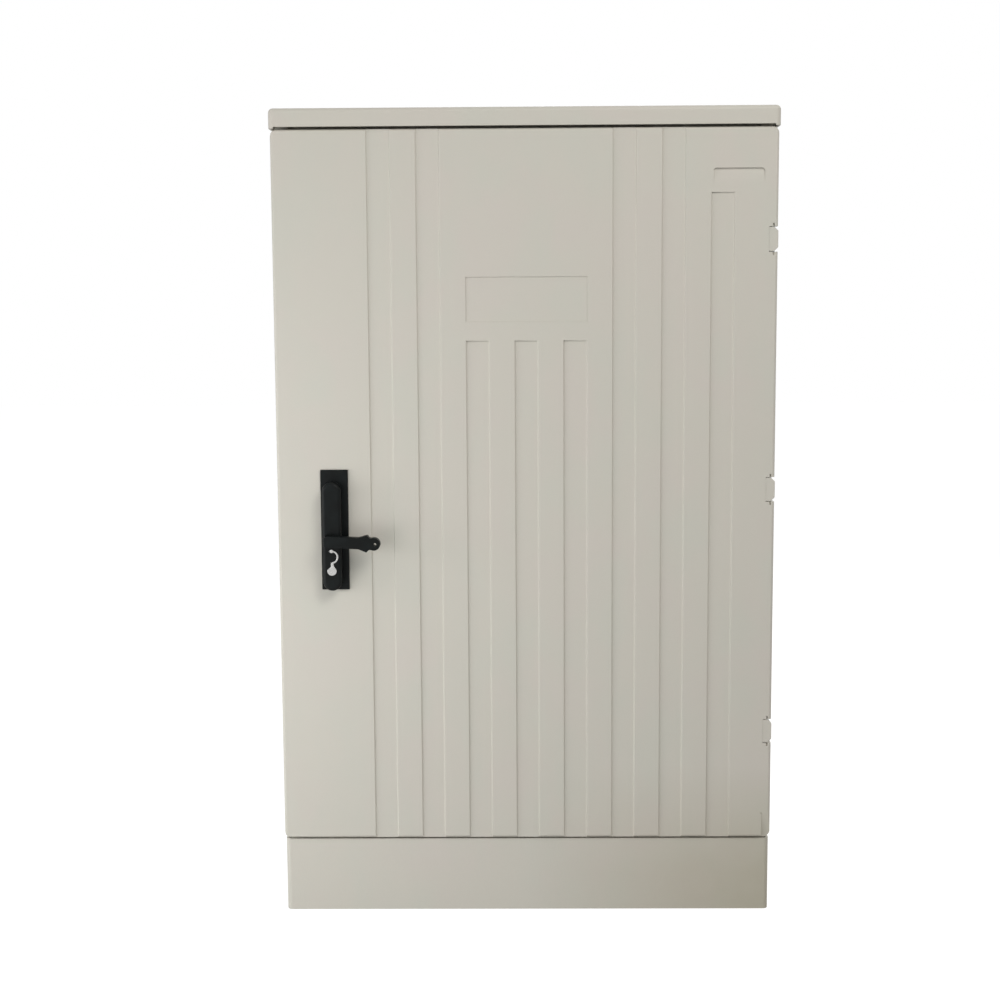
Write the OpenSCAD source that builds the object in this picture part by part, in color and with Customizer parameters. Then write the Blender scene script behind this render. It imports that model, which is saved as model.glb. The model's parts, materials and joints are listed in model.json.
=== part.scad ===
// Floor-standing distribution cabinet, moulded in glass-fibre polyester.
// Panels on a plinth, one ribbed door on three corner hinges, and a swing-handle lock
// whose pinion drives an upper and a lower rod by their racks.
// Millimetres. Origin on the floor in the middle of the plinth, front at -Y, up at +Z.

/* [Cabinet] */
// Width of the door
door_w = 785; // [760:5:900]
// Height of the door
door_h = 1127; // [1050:1:1300]
// Depth from the door's front to the rear panel's outside
cabinet_d = 320; // [300:5:380]
// Wall of every moulded panel
wall = 4; // [3.5:0.25:4.5]
// How far the side panels stand inside the door's edges
side_inset = 4; // [3.5:0.5:5]
// Width of the flanges turned in on the side panels
flange_w = 36; // [32:1:44]

/* [Plinth] */
// Height of the plinth
plinth_h = 119; // [100:1:200]
// How far the plinth stands inside the door's edges
plinth_inset = 1; // [1:0.5:4]
// How far the plinth stands behind the door's front
plinth_setback = 6; // [4:1:10]
// Length of the covers' returns along the sides
plinth_return = 40; // [36:1:60]
// Radius of the plinth's upright corners
plinth_corner = 8; // [6:1:10]
// Distance of the floor anchors from the plinth's sides
anchor_inset = 33.5; // [26:0.5:34]
// Distance between floor anchors front to back
anchor_y = 160; // [120:5:180]
// Radius of the floor anchor holes
anchor_r = 7; // [5:0.5:9]

/* [Door] */
// Depth of the door pan with its turned edge
door_t = 18; // [17:0.5:19]
// Corner radius of the door seen from the front
door_corner = 12; // [9:1:14]
// Rolled front edge of the door
door_roll = 5; // [3:0.5:6]
// Gap under the door
door_gap = 3; // [3:0.5:6]
// Gap from the door's top to the roof's lip
roof_gap = 3.5; // [3.5:0.5:8]
// Distance from the door's edge to the sealing rim
rim_inset = 21; // [20.5:0.25:23]
// Height of the seal between door and rim
seal_t = 7; // [6:0.5:8]
// Width of the seal
seal_w = 10; // [8:0.5:11]

/* [Bands] */
// Distance between neighbouring bands
band_pitch = 76.2; // [72:0.1:78]
// Width of one band
band_w = 37; // [30:0.5:44]
// Depth of the bands
band_d = 2.5; // [1.5:0.25:2.5]
// Width of a band's sloping edge
band_run = 1.2; // [0.8:0.1:2]
// Distance from the door's left edge to the first band
band_start = 147.8; // [144:0.5:165]
// Least distance from the last band to the door's right edge
band_end = 60; // [50:1:64]
// Height above the door's bottom where the three middle bands end
band_mid_top = 801; // [760:0.5:815]
// Height above the door's bottom where the last band ends
band_last_top = 1027.5; // [980:0.5:1035]

/* [Recesses] */
// Height of the label recess above the door's bottom
label_z = 830.5; // [825:0.5:860]
// Height of the label recess
label_h = 69.5; // [50:0.5:80]
// Depth of the label recess
label_d = 1.2; // [0.5:0.1:2]
// Width of the tapered recess at the top right
taper_w = 79; // [60:1:84]
// Height of the tapered recess
taper_h = 25; // [15:1:30]
// Deepest point of the tapered recess
taper_d = 3; // [1.5:0.25:3.25]
// Radius of the tapered recess's upper corners
taper_corner = 5; // [3:0.5:8]
// Distance of the tapered recess from the door's right edge
taper_edge = 21.5; // [19:0.5:24]
// Distance of the tapered recess from the door's top
taper_drop = 62.5; // [45:0.5:66]
// Width of the relieved bottom right corner
relief_w = 14; // [8:0.5:16]
// Height of the relieved corner
relief_h = 40; // [25:1:50]
// Depth of the relieved corner at the bottom
relief_d = 3.2; // [1.5:0.1:3.4]
// Radius of the door's face beside the relieved corner
relief_corner = 6; // [4:0.5:8]
// Radius of the pit at the relieved corner's top
pit_r = 1.5; // [1:0.1:2]
// Depth of the pit
pit_d = 1.2; // [0.8:0.1:2]

/* [Roof] */
// How far the roof stands past the door's edges at the sides
roof_side = 2; // [2:0.25:3]
// How far the roof stands past the door's front
roof_front = 3.5; // [2:0.5:8]
// How far the roof stands past the rear panel
roof_rear = 5.5; // [5:0.5:8]
// Height of the roof's edge
roof_h = 28.5; // [28:0.5:40]
// Corner radius of the roof
roof_corner = 8; // [7.5:0.5:9]
// Rolled top edge of the roof
roof_roll = 7; // [4:0.5:7.25]
// Rise of the roof to its ridge
roof_crown = 9; // [5:1:11]
// How far the side skirts hang below the front lip
roof_skirt = 2.5; // [1:0.25:3]
// How far the panels reach up behind the roof's lip
roof_lap = 11; // [9:0.5:13]
// Radius of the roof's screw bosses
roof_boss_r = 10; // [8:0.5:11]

/* [Hinges] */
// Distance of the hinge axis from the door's right edge
hinge_inset = 7; // [6.5:0.25:7.5]
// Distance of the hinge axis behind the door's front
hinge_depth = 8; // [7.75:0.25:8.5]
// Height of the middle hinge above the door's middle
hinge_mid = 2; // [-10:0.5:20]
// Distance between hinges
hinge_pitch = 390; // [340:1:400]
// Height of the notch in the door
hinge_notch_h = 39; // [36:0.5:46]
// Radius of the hinge block's round flank about the pin
hinge_block_r = 10.3; // [9.5:0.1:10.5]
// Gap round the hinge block's flank
hinge_flank_gap = 0.3; // [0.3:0.05:0.6]
// Gap above and below the hinge block
hinge_end_gap = 1; // [0.5:0.25:2]
// Size of the hinge block's cut outer corners
hinge_corner = 6; // [4:0.5:8]
// Length of the slits in front of the pin's ends
hinge_slit_l = 5; // [4:0.5:8]
// Width of the slits
hinge_slit_w = 2.6; // [1.5:0.1:3]
// Radius of the hinge pins
hinge_pin_r = 3; // [2.5:0.1:3.2]
// Height of the door's lugs
hinge_lug_h = 12.5; // [10:0.5:16]

/* [Inside] */
// Clearance between the mounting plate and the side panels
plate_side = 44.5; // [38:0.5:90]
// Clearance between the mounting plate and the top of the door's opening
plate_top = 62; // [50:1:110]
// Thickness of the mounting plate
plate_t = 2; // [1.5:0.5:4]
// Distance from the mounting plate's back to the rear panel
plate_gap = 44; // [35:1:60]
// Height of the mounting plate above the floor plates
plate_rise = 80; // [70:1:90]
// Distance between equipment holes across the plate
gear_x = 520; // [400:5:560]
// Distance between equipment holes up the plate
gear_z = 760; // [600:5:800]
// Radius of the equipment holes
gear_r = 3.3; // [2.7:0.1:4.5]
// Thickness of the floor plates
floor_t = 3; // [2:0.5:4]
// Width of the cable slot between the floor plates
cable_slot = 70; // [50:5:80]
// Height of the cable rail's middle above the floor plates
cable_rail_z = 45; // [40:1:55]
// Height of the cable rail's profile
cable_rail_h = 30; // [24:1:36]
// Depth of the cable rail's profile
cable_rail_d = 15; // [12:0.5:18]
// Sheet of the cable rail and strike plates
sheet_t = 3; // [2.5:0.25:3.5]

/* [Lock] */
// Distance of the lock's spindle from the door's left edge
lock_inset = 90.5; // [88:0.5:95]
// Height of the lock's spindle above the door's bottom
lock_rise = 490; // [450:1:540]
// Width of the lock plate
lock_plate_w = 43.5; // [40:0.5:50]
// Thickness of the lock plate
lock_plate_t = 3; // [2:0.5:4]
// Reach of the lock plate above the spindle
lock_plate_up = 110; // [106:0.5:130]
// Reach of the lock plate below the spindle
lock_plate_down = 81; // [79:0.5:90]
// Distance of the housing's middle to the left of the spindle
lock_body_off = 3; // [2:0.25:4]
// Half width of the raised housing
lock_body_r = 15; // [14.5:0.25:17]
// Reach of the raised housing above the spindle
lock_body_up = 92; // [90:0.5:100]
// Reach of the raised housing below the spindle
lock_body_down = 80; // [76:0.5:80]
// How far the housing stands out from the door
lock_body_t = 25; // [22:0.5:30]
// Length of the lever from the spindle to its tip
lever_l = 74.5; // [70:0.5:90]
// Thickness of the lever
lever_t = 13; // [10:0.5:15]
// Gap between lever and housing
lever_gap = 4; // [3.5:0.25:6]
// Reach of the lever behind the spindle
lever_tail = 14; // [12.5:0.1:15]
// Angle by which the lever hangs below level
lever_droop = 3; // [0:0.5:5]
// Half width of the lever's neck
lever_neck = 9; // [8.5:0.1:10]
// Half width across the lever's barbs
lever_barb = 13.6; // [12:0.1:14.5]
// Radius of the lever's round end
lever_end_r = 10; // [9:0.1:11]
// Radius of the hole in the lever's end
lever_hole_r = 2.2; // [1.5:0.1:3]

/* [Key] */
// Radius of the lock cylinder
cylinder_r = 6.5; // [6:0.1:7]
// Radius of the key plug
plug_r = 4.5; // [4:0.1:4.8]
// Radius of the keyhole cover's disc
cover_r = 7.2; // [6.8:0.1:8]
// Thickness of the keyhole cover
cover_t = 1.3; // [1:0.1:1.6]
// Distance from the cover's rivet to the disc's middle
cover_drop = 31.6; // [31:0.1:34]
// Radius of the cover's curved arm
cover_arm_r = 9.3; // [8.6:0.1:9.8]
// Width of the cover's curved arm
cover_arm_w = 2.6; // [2:0.1:3]

/* [Rods] */
// Size of the teeth, as the gear module
tooth_m = 2; // [1.9:0.05:2.1]
// Play between the meshing flanks
tooth_play = 0.16; // [0.1:0.02:0.3]
// Width of the spindle's square
square_w = 8; // [7:0.5:8.5]
// Radius of the spindle's bearing
spindle_r = 6; // [6:0.1:6.5]
// Radius of the locking rods
rod_r = 5; // [4.5:0.1:5.3]
// Distance from the rim to the rods' middle
rod_depth = 6; // [5.75:0.25:7]
// Distance of the rods' guides from the door's ends
guide_end = 150; // [120:5:200]
// Length of the rods' guides
guide_h = 24; // [18:1:30]
// Reach of the strike plates' lips
strike_lip = 19; // [18:0.5:22]

/* [Fits] */
// Radial clearance of turning shafts
run_fit = 0.05; // [0.03:0.01:0.1]
// Radial clearance of the rods in their guides
rod_fit = 0.1; // [0.05:0.01:0.1]
// Clearance between pieces that are set in place
set_fit = 0.5; // [0.3:0.1:1]

/* [Hidden] */
$fn = 48;
door_x = door_w / 2;
bands = floor((door_w - band_start - band_w - band_end) / band_pitch) + 1;
front = -cabinet_d / 2;
rear = cabinet_d / 2;
rear_in = rear - wall;
door_z0 = plinth_h + door_gap;
door_z1 = door_z0 + door_h;
door_in = front + wall;
door_back = front + door_t;
side_x = door_x - side_inset;
side_in = side_x - wall;
rim_x = door_x - rim_inset;
rim_z0 = door_z0 + rim_inset;
rim_z1 = door_z1 - rim_inset;
rim_front = door_in + seal_t;
// The gutter's floor clears the swept edge of the door
jog_y = door_back + 8;
web_y = jog_y + wall;
web_back = web_y + wall;
// Hinge line
hinge_x = door_x - hinge_inset;
hinge_y = front + hinge_depth;
hinge_h = hinge_notch_h - 2 * hinge_end_gap;
hinge_flush = 0.3;
hinge_stem = 4.5;
hinge_foot = 4;
hinge_slit_d = 3.4;
hinge_screw_x = (rim_x + side_in) / 2;
hinge_screw_z = hinge_h / 2 - 6.5;
hinge_zs = [for (i = [-1:1]) (door_z0 + door_z1) / 2 + hinge_mid + i * hinge_pitch];
// Shell and roof
roof_z0 = door_z1 + roof_gap;
roof_z1 = roof_z0 + roof_h;
roof_x = door_x + roof_side;
roof_y0 = front - roof_front;
roof_y1 = rear + roof_rear;
body_z0 = plinth_h;
body_z1 = roof_z0 + roof_lap;
flange_x = side_x - flange_w;
flange_y0 = web_back + sheet_t + 1;
flange_y1 = rear_in - wall;
rear_flange = 24;
rear_bolt_x = side_x - rear_flange / 2 - wall / 2;
rear_bolt_end = 70;
rear_bolt_zs = [for (i = [0:4]) body_z0 + rear_bolt_end + i * (body_z1 - body_z0 - 2 * rear_bolt_end) / 4];
// Large bolts: head and nut
hex_r = 7.5;
hex_t = 5;
nut_t = 6;
roof_bolt_r = 3.35;
roof_bolt_l = 12;
bolt_x = (flange_x + side_in) / 2;
roof_bolt_end = 70;
bolt_y = cabinet_d / 2 - roof_bolt_end;
rail_bolt_x = (rim_x + side_in) / 2;
side_mid = (jog_y + rear_in) / 2;
// Floor and plinth
floor_x = side_in - band_d - set_fit;
floor_z = body_z0 + wall;
floor_top = floor_z + floor_t;
plinth_x = door_x - plinth_inset;
plinth_y0 = front + plinth_setback;
plinth_y1 = rear - plinth_setback / 2;
frame_y0 = plinth_y0 + plinth_return;
frame_y1 = plinth_y1 - plinth_return;
frame_flange = flange_w + 8;
anchor_x = 2 * (plinth_x - anchor_inset);
strip_x = flange_x - wall;
rail_lip = 24;
rail_lip_gap = 6;
// Mounting plate and cable rail
plate_y1 = rear_in - plate_gap;
plate_y0 = plate_y1 - plate_t;
plate_z0 = floor_top + plate_rise;
plate_w = 2 * (side_in - plate_side);
plate_h = rim_z1 - plate_top - plate_z0;
plate_mid = plate_z0 + plate_h / 2;
plate_edge_x = 20;
plate_edge_z = 30;
plate_fix_x = plate_w / 2 - plate_edge_x;
plate_fix_z = plate_h / 2 - plate_edge_z;
plate_screw_l = 22;
plate_screw_r = 3.35;
plate_boss_r = 12;
rail_boss = 10;
rail_end = side_in - rail_boss;
rail_y = side_mid + 10;
rail_mid = floor_top + cable_rail_z;
rail_fix_d = 14;
rail_tab_end = 12;
rail_mouth = 8;
rail_fix_y = rail_y + cable_rail_d + rail_fix_d;
rail_fix_z = cable_rail_h / 2 - wall;
// Lock
lock_x = -door_x + lock_inset;
lock_z = door_z0 + lock_rise;
lock_front = front - lock_body_t;
lever_back = lock_front - lever_gap;
lever_front = lever_back - lever_t;
key_x = lock_x - lock_body_off;
cover_x = key_x - 0.3;
cover_fall = 16.2;
cover_z = lock_z - cover_fall;
key_z = cover_z - cover_drop;
cover_gap = 0.3;
lock_roll = 5;
pocket_w = 10.5;
pocket_rise = 12;
pocket_end = 18;
bite_x = 5.6;
bite_z = 6.6;
bite_r = 3.6;
// Places along the lever, back from the middle of its round end
lever_flare = 24;
lever_point = 11;
lever_step = 7;
lever_shoulder = 0.8;
lever_hole_on = 2;
lever_round = 3;
lever_end = lever_l - lever_end_r;
cover_back = lock_front - cover_gap;
cover_front = cover_back - cover_t;
rivet_r = 1.5;
// Pinion and racks
teeth = 12;
press_a = 20;
pitch_r = tooth_m * teeth / 2;
base_r = pitch_r * cos(press_a);
tip_r = pitch_r + 0.9 * tooth_m;
root_r = pitch_r - 0.8 * tooth_m;
rack_add = 0.65 * tooth_m;
rack_ded = 1.05 * tooth_m;
rack_p = PI * tooth_m;
tooth_s = rack_p / 2 - tooth_play / 2;
lever_turn = 90;
rod_travel = pitch_r * lever_turn * PI / 180;
rack_back = pitch_r + rack_ded + 6.9;
rack_low = 5.5 * rack_p;
rack_high = 4 * rack_p;
rod_off = rack_back - rod_r;
rod_y = rim_front + rod_depth;
rod_y0 = rod_y - rod_r;
rod_y1 = rod_y + rod_r;
case_plate = 4;
case_in = rack_back + 0.4;
case_out = case_in + 4;
case_w = case_out + 4;
case_h = 48;
case_y0 = door_in + case_plate;
case_y1 = rod_y1 + 1;
case_cover_t = 2.5;
case_y2 = case_y1 + case_cover_t;
case_screw_x = (case_in + case_out) / 2;
case_screw_z = case_h - 10;
journal_r = square_w / 2;
lock_screw_z = 30;
guide_w = rod_r + 7;
guide_y1 = rod_y1 + 1.5;
guide_screw_x = rod_r + 4;
// Strikes
strike_gap = 3;
strike_z1 = rim_z1 - wall - strike_gap;
strike_z0 = rim_z0 + wall + strike_gap;
strike_w = rod_r + 9;
strike_front = rod_y0 - 1 - sheet_t;
upper_tip = strike_z1 - sheet_t - strike_lip - 4;
lower_tip = strike_z0 + sheet_t + strike_lip + 4;

// A block between two opposite corners
module block(lo, hi) {
    translate(lo) cube(hi - lo);
}

// Round bars along each axis, from a start point
module bar_x(p, r, l) {
    translate(p) rotate([0, 90, 0]) cylinder(r = r, h = l);
}

module bar_y(p, r, l) {
    translate(p) rotate([-90, 0, 0]) cylinder(r = r, h = l);
}

module bar_z(p, r, l) {
    translate(p) cylinder(r = r, h = l);
}

// An outline drawn in X and Z, given depth from y0 to y1
module slab_y(y0, y1) {
    translate([0, y1, 0]) rotate([90, 0, 0]) linear_extrude(y1 - y0) children();
}

// An outline drawn in Y and Z, drawn out from x0 to x1
module slab_x(x0, x1) {
    translate([x0, 0, 0]) rotate([90, 0, 90]) linear_extrude(x1 - x0) children();
}

// The same thing on both sides of the cabinet
module both_sides() {
    children();
    mirror([1, 0, 0]) children();
}

// A corner post of a moulded shape, rolled over at its far end
module roll_post(r, roll, h) {
    rotate_extrude($fn = 32) intersection() {
        square([r, h]);
        union() {
            square([r, h - roll]);
            square([r - roll, h]);
            translate([r - roll, h - roll]) circle(roll, $fn = 32);
        }
    }
}

// A hexagon bolt along +Y with its head behind p and a nut at the far end
module bolt_y(p, r, l, head) {
    bar_y(p, r, l);
    translate(p) rotate([90, 0, 0]) cylinder(r = 1.9 * r, h = head, $fn = 6);
}

// A countersunk-free screw along -Y, its round head behind p
module screw_y(p, r, l, head_r, head_t) {
    translate(p) rotate([90, 0, 0]) cylinder(r = r, h = l);
    bar_y(p, head_r, head_t);
}

// One band's cut in a face at y = 0, with the panel's inside at +Y
module band_cut(x0, z0, z1, depth) {
    translate([x0, 0, z0]) linear_extrude(z1 - z0) polygon([[0, -1], [0, 0], [band_run, depth],
        [band_w - band_run, depth], [band_w, 0], [band_w, -1]]);
}

// The same band's pad on the inside, which keeps the wall even
module band_pad(x0, z0, z1) {
    block([x0 - band_run, wall - 0.1, z0], [x0 + band_w + band_run, wall + band_d, z1]);
}

// Plinth

module plinth_ring() {
    difference() {
        plinth_post(plinth_x, plinth_y0, plinth_y1, plinth_corner, 0, plinth_h);
        plinth_post(plinth_x - wall, plinth_y0 + wall, plinth_y1 - wall, plinth_corner - wall, -1,
            plinth_h + 1);
    }
}

module plinth_post(x, y0, y1, r, z0, z1) {
    block([-x + r, y0, z0], [x - r, y1, z1]);
    block([-x, y0 + r, z0], [x, y1 - r, z1]);
    for (px = [-x + r, x - r], py = [y0 + r, y1 - r]) bar_z([px, py, z0], r, z1 - z0);
}

plinth_tab = 25;
plinth_bolt_r = 4;
plinth_bolt_zs = [plinth_h * 0.28, plinth_h * 0.72];

module plinth_bolt_places() {
    both_sides() for (y = [frame_y0 - plinth_tab / 2, frame_y1 + plinth_tab / 2], z = plinth_bolt_zs)
        translate([plinth_x - 2 * wall, y, z]) children();
}

module plinth_cover(y0, y1, lip_y0, lip_y1) {
    difference() {
        union() {
            intersection() {
                plinth_ring();
                block([-door_w, y0, 0], [door_w, y1, plinth_h]);
            }
            block([-plinth_x + 2 * wall, lip_y0, plinth_h - wall], [plinth_x - 2 * wall, lip_y1, plinth_h]);
        }
        plinth_bolt_places() bar_x([0, 0, 0], plinth_bolt_r, 2 * wall - 1);
    }
}

module plinth_front_cover() {
    color("Gainsboro") plinth_cover(plinth_y0 - 1, frame_y0, plinth_y0 + wall - 0.1, plinth_y0 + 4 * wall);
}

module plinth_rear_cover() {
    color("Gainsboro") plinth_cover(frame_y1, plinth_y1 + 1, plinth_y1 - 4 * wall, plinth_y1 - wall + 0.1);
}

module plinth_frame() {
    x0 = plinth_x - frame_flange;
    xi = plinth_x - wall;
    difference() {
        union() {
            block([xi, frame_y0, 0], [plinth_x, frame_y1, plinth_h]);
            block([x0, frame_y0, 0], [plinth_x, frame_y1, wall + 1]);
            block([x0, frame_y0, plinth_h - wall], [plinth_x, frame_y1, plinth_h]);
            block([xi - wall, frame_y0 - plinth_tab, 10], [xi, frame_y0 + plinth_tab, plinth_h - 10]);
            block([xi - wall, frame_y1 - plinth_tab, 10], [xi, frame_y1 + plinth_tab, plinth_h - 10]);
        }
        for (y = [-anchor_y / 2, anchor_y / 2]) bar_z([anchor_x / 2, y, -1], anchor_r, wall + 3);
        base_bolt_places() bar_z([0, 0, -3 * wall], base_bolt_r + 0.3, 3 * wall);
        plinth_bolt_places() bar_x([-1, 0, 0], plinth_bolt_r, 2 * wall);
    }
}

module plinth_left_frame() {
    color("LightGrey") mirror([1, 0, 0]) plinth_frame();
}

module plinth_right_frame() {
    color("LightGrey") plinth_frame();
}

module plinth_bolts() {
    color("Silver") plinth_bolt_places() {
        bar_x([0, 0, 0], plinth_bolt_r, 2 * wall - 1);
        translate([-hex_t, 0, 0]) rotate([0, 90, 0]) cylinder(r = hex_r, h = hex_t, $fn = 6);
    }
}

// Floor

base_bolt_r = 4;
base_bolt_end = 75;
base_bolt_y = cabinet_d / 2 - base_bolt_end;

module base_bolt_places() {
    both_sides() for (y = [-base_bolt_y, base_bolt_y]) translate([bolt_x, y, floor_z]) children();
}

module floor_plate(y0, y1) {
    difference() {
        block([-floor_x, y0, floor_z], [floor_x, y1, floor_top]);
        base_bolt_places() bar_z([0, 0, -1], base_bolt_r + 0.3, floor_t + 2);
    }
}

module floor_plate_front() {
    color("Silver") floor_plate(flange_y0, -cable_slot / 2);
}

module floor_plate_rear() {
    color("Silver") floor_plate(cable_slot / 2, flange_y1 - set_fit);
}

module cable_edge_strips() {
    color("DimGray") for (s = [-1, 1]) scale([1, s, 1]) difference() {
        block([-strip_x, cable_slot / 2 - 3, floor_z - 2], [strip_x, cable_slot / 2 + 6, floor_top + 2]);
        block([-strip_x - 1, cable_slot / 2, floor_z], [strip_x + 1, cable_slot / 2 + 7, floor_top]);
    }
}

module base_bolts() {
    color("Silver") base_bolt_places() {
        bar_z([0, 0, -2 * wall - nut_t], base_bolt_r, 2 * wall + nut_t + floor_t);
        translate([0, 0, floor_t]) cylinder(r = hex_r, h = hex_t, $fn = 6);
        translate([0, 0, -2 * wall - nut_t]) cylinder(r = hex_r, h = nut_t, $fn = 6);
    }
}

// Shell

// Bands of the right side panel, cut from its outside
module side_bands(pad) {
    for (i = [-1:1]) translate([side_x, side_mid, 0]) rotate([0, 0, 90])
        if (pad) band_pad(i * band_pitch - band_w / 2, body_z0 + wall, body_z1 - wall);
        else band_cut(i * band_pitch - band_w / 2, body_z0 - 1, body_z1 + 1, band_d);
}

module rail_screw_places() {
    for (z = [-rail_fix_z, rail_fix_z]) translate([rail_end, rail_fix_y, rail_mid + z]) children();
}

module rail_bolt_places() {
    both_sides() for (z = [rim_z0 - 8, rim_z1 + 8]) translate([rail_bolt_x, jog_y, z]) children();
}

module roof_bolt_places() {
    both_sides() for (y = [-bolt_y, bolt_y]) translate([bolt_x, y, body_z1 - wall]) children();
}

module rear_bolt_places() {
    both_sides() for (z = rear_bolt_zs) translate([rear_bolt_x, rear, z]) children();
}

module side_panel() {
    difference() {
        union() {
            translate([0, 0, body_z0]) linear_extrude(body_z1 - body_z0) polygon([[side_x, jog_y],
                [side_x, rear_in], [side_x - rear_flange, rear_in], [side_x - rear_flange, flange_y1],
                [side_in, flange_y1], [side_in, web_y], [rim_x - wall, web_y], [rim_x - wall, jog_y]]);
            block([rim_x - wall, rim_front, rim_z0], [rim_x, web_y, rim_z1]);
            for (z = [body_z0, body_z1 - wall])
                block([flange_x, flange_y0, z], [side_in + 1, flange_y1, z + wall]);
            side_bands(true);
            rail_screw_places() bar_x([0, 0, 0], 9, rail_boss + 1);
        }
        side_bands(false);
        rail_screw_places() bar_x([-1, 0, 0], 3, rail_boss);
        rail_bolt_places() bar_y([0, -1, 0], 3.2, wall + 2);
        roof_bolt_places() bar_z([0, 0, -1], roof_bolt_r + 2 * set_fit, wall + 2);
        base_bolt_places() bar_z([0, 0, -wall - 1], base_bolt_r + 0.3, wall + 2);
        rear_bolt_places() bar_y([0, -3 * wall, 0], 3.2, 3 * wall);
    }
}

module left_side_panel() {
    color("Gainsboro") mirror([1, 0, 0]) side_panel();
}

module right_side_panel() {
    color("Gainsboro") difference() {
        side_panel();
        hinge_screw_places() bar_y([0, -1, 0], 2.7, wall + 2);
    }
}

module rear_panel() {
    first = -((bands - 1) * band_pitch + band_w) / 2;
    color("Gainsboro") difference() {
        union() {
            block([-side_x, rear_in, body_z0], [side_x, rear, body_z1]);
            rotate([0, 0, 180]) translate([0, -rear, 0]) for (i = [0:bands - 1])
                band_pad(first + i * band_pitch, floor_top + 15, rim_z1);
            plate_screw_places() bar_y([0, 0, 0], plate_boss_r, plate_gap + 1);
        }
        rotate([0, 0, 180]) translate([0, -rear, 0]) for (i = [0:bands - 1])
            band_cut(first + i * band_pitch, body_z0 - 1, body_z1 + 1, band_d);
        plate_screw_places() bar_y([0, -1, 0], plate_screw_r + run_fit, plate_screw_l + wall);
        rear_bolt_places() bar_y([0, -wall - 1, 0], 3.2, wall + 2);
    }
}

// The rails' outline in Y and Z: a web behind the side panels and a tongue that carries the seal
module top_rail() {
    color("Gainsboro") difference() {
        union() {
            block([-side_in + set_fit, web_y, rim_z1 - wall], [side_in - set_fit, web_back, body_z1]);
            block([-rim_x + wall, rim_front, rim_z1 - wall], [rim_x - wall, web_back, rim_z1]);
            block([-flange_x + rail_lip_gap, web_back - 1, body_z1 - wall],
                [flange_x - rail_lip_gap, web_back + rail_lip, body_z1]);
        }
        rail_bolt_places() bar_y([0, 0, 0], 3.2, 3 * wall);
        strike_screw_places_upper() bar_y([0, -wall - 1, 0], 2.2, wall + 1);
    }
}

module bottom_rail() {
    color("Gainsboro") difference() {
        union() {
            block([-side_in + set_fit, web_y, body_z0], [side_in - set_fit, web_back, rim_z0 + wall]);
            block([-rim_x + wall, rim_front, rim_z0], [rim_x - wall, web_back, rim_z0 + wall]);
            block([-flange_x + rail_lip_gap, web_back - 1, body_z0],
                [flange_x - rail_lip_gap, web_back + rail_lip, body_z0 + wall]);
        }
        rail_bolt_places() bar_y([0, 0, 0], 3.2, 3 * wall);
        strike_screw_places_lower() bar_y([0, -wall - 1, 0], 2.2, wall + 1);
    }
}

module panel_bolts() {
    color("Silver") rear_bolt_places() {
        intersection() {
            translate([0, -9, 0]) sphere(r = 12);
            bar_y([0, 0, 0], 7.9, 4);
        }
        bar_y([0, -2 * wall - 5, 0], 3, 2 * wall + 5.5);
        translate([0, -2 * wall, 0]) rotate([90, 0, 0]) cylinder(r = 5.8, h = 5, $fn = 6);
    }
}

module rail_bolts() {
    color("Silver") rail_bolt_places() {
        bolt_y([0, 0, 0], 3, 2 * wall + 5, 4);
        translate([0, 2 * wall + 5, 0]) rotate([90, 0, 0]) cylinder(r = 5.8, h = 5, $fn = 6);
    }
}

// Roof

module roof_form(inset, z0) {
    r = roof_corner - inset;
    roll = max(roof_roll - inset, 0.5);
    hull() {
        for (x = [-roof_x + roof_corner, roof_x - roof_corner],
             y = [roof_y0 + roof_corner, roof_y1 - roof_corner])
            translate([x, y, z0]) roll_post(r, roll, roof_z1 - inset - z0);
        block([-roof_x * 0.7, (roof_y0 + roof_y1) / 2 - 3, roof_z1 - roof_roll],
            [roof_x * 0.7, (roof_y0 + roof_y1) / 2 + 3, roof_z1 + roof_crown - inset]);
    }
}

module roof() {
    color("Gainsboro") difference() {
        union() {
            difference() {
                roof_form(0, roof_z0 - roof_skirt);
                roof_form(wall, roof_z0 - roof_skirt - 1);
            }
            intersection() {
                roof_bolt_places() bar_z([0, 0, wall], roof_boss_r, roof_h + roof_crown);
                translate([0, 0, -wall / 2]) roof_form(wall / 2, roof_z0 - roof_skirt);
            }
        }
        block([-roof_x + roof_corner, roof_y0 - 1, roof_z0 - roof_skirt - 1],
            [roof_x - roof_corner, roof_y0 + 2 * wall, roof_z0]);
        roof_bolt_places() bar_z([0, 0, 0], roof_bolt_r + run_fit, wall + roof_bolt_l + 1);
    }
}

module roof_bolts() {
    color("Silver") roof_bolt_places() {
        bar_z([0, 0, 0], roof_bolt_r, wall + roof_bolt_l);
        translate([0, 0, -hex_t]) cylinder(r = hex_r, h = hex_t, $fn = 6);
    }
}

// Inside

module plate_screw_places() {
    for (x = [-plate_fix_x, plate_fix_x], z = [-plate_fix_z, plate_fix_z])
        translate([x, plate_y1, plate_mid + z]) children();
}

module mounting_plate() {
    color("Silver") difference() {
        block([-plate_w / 2, plate_y0, plate_z0], [plate_w / 2, plate_y1, plate_z0 + plate_h]);
        plate_screw_places() bar_y([0, -plate_t - 1, 0], 4.3, plate_t + 2);
        for (x = [-gear_x / 2, gear_x / 2], z = [-gear_z / 2, gear_z / 2])
            bar_y([x, plate_y0 - 1, plate_mid + z], gear_r, plate_t + 2);
    }
}

module mounting_screws() {
    color("Silver") plate_screw_places() {
        bar_y([0, -plate_t, 0], plate_screw_r, plate_t + plate_screw_l);
        bar_y([0, -plate_t - wall, 0], 2 * plate_screw_r, wall);
    }
}

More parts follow.
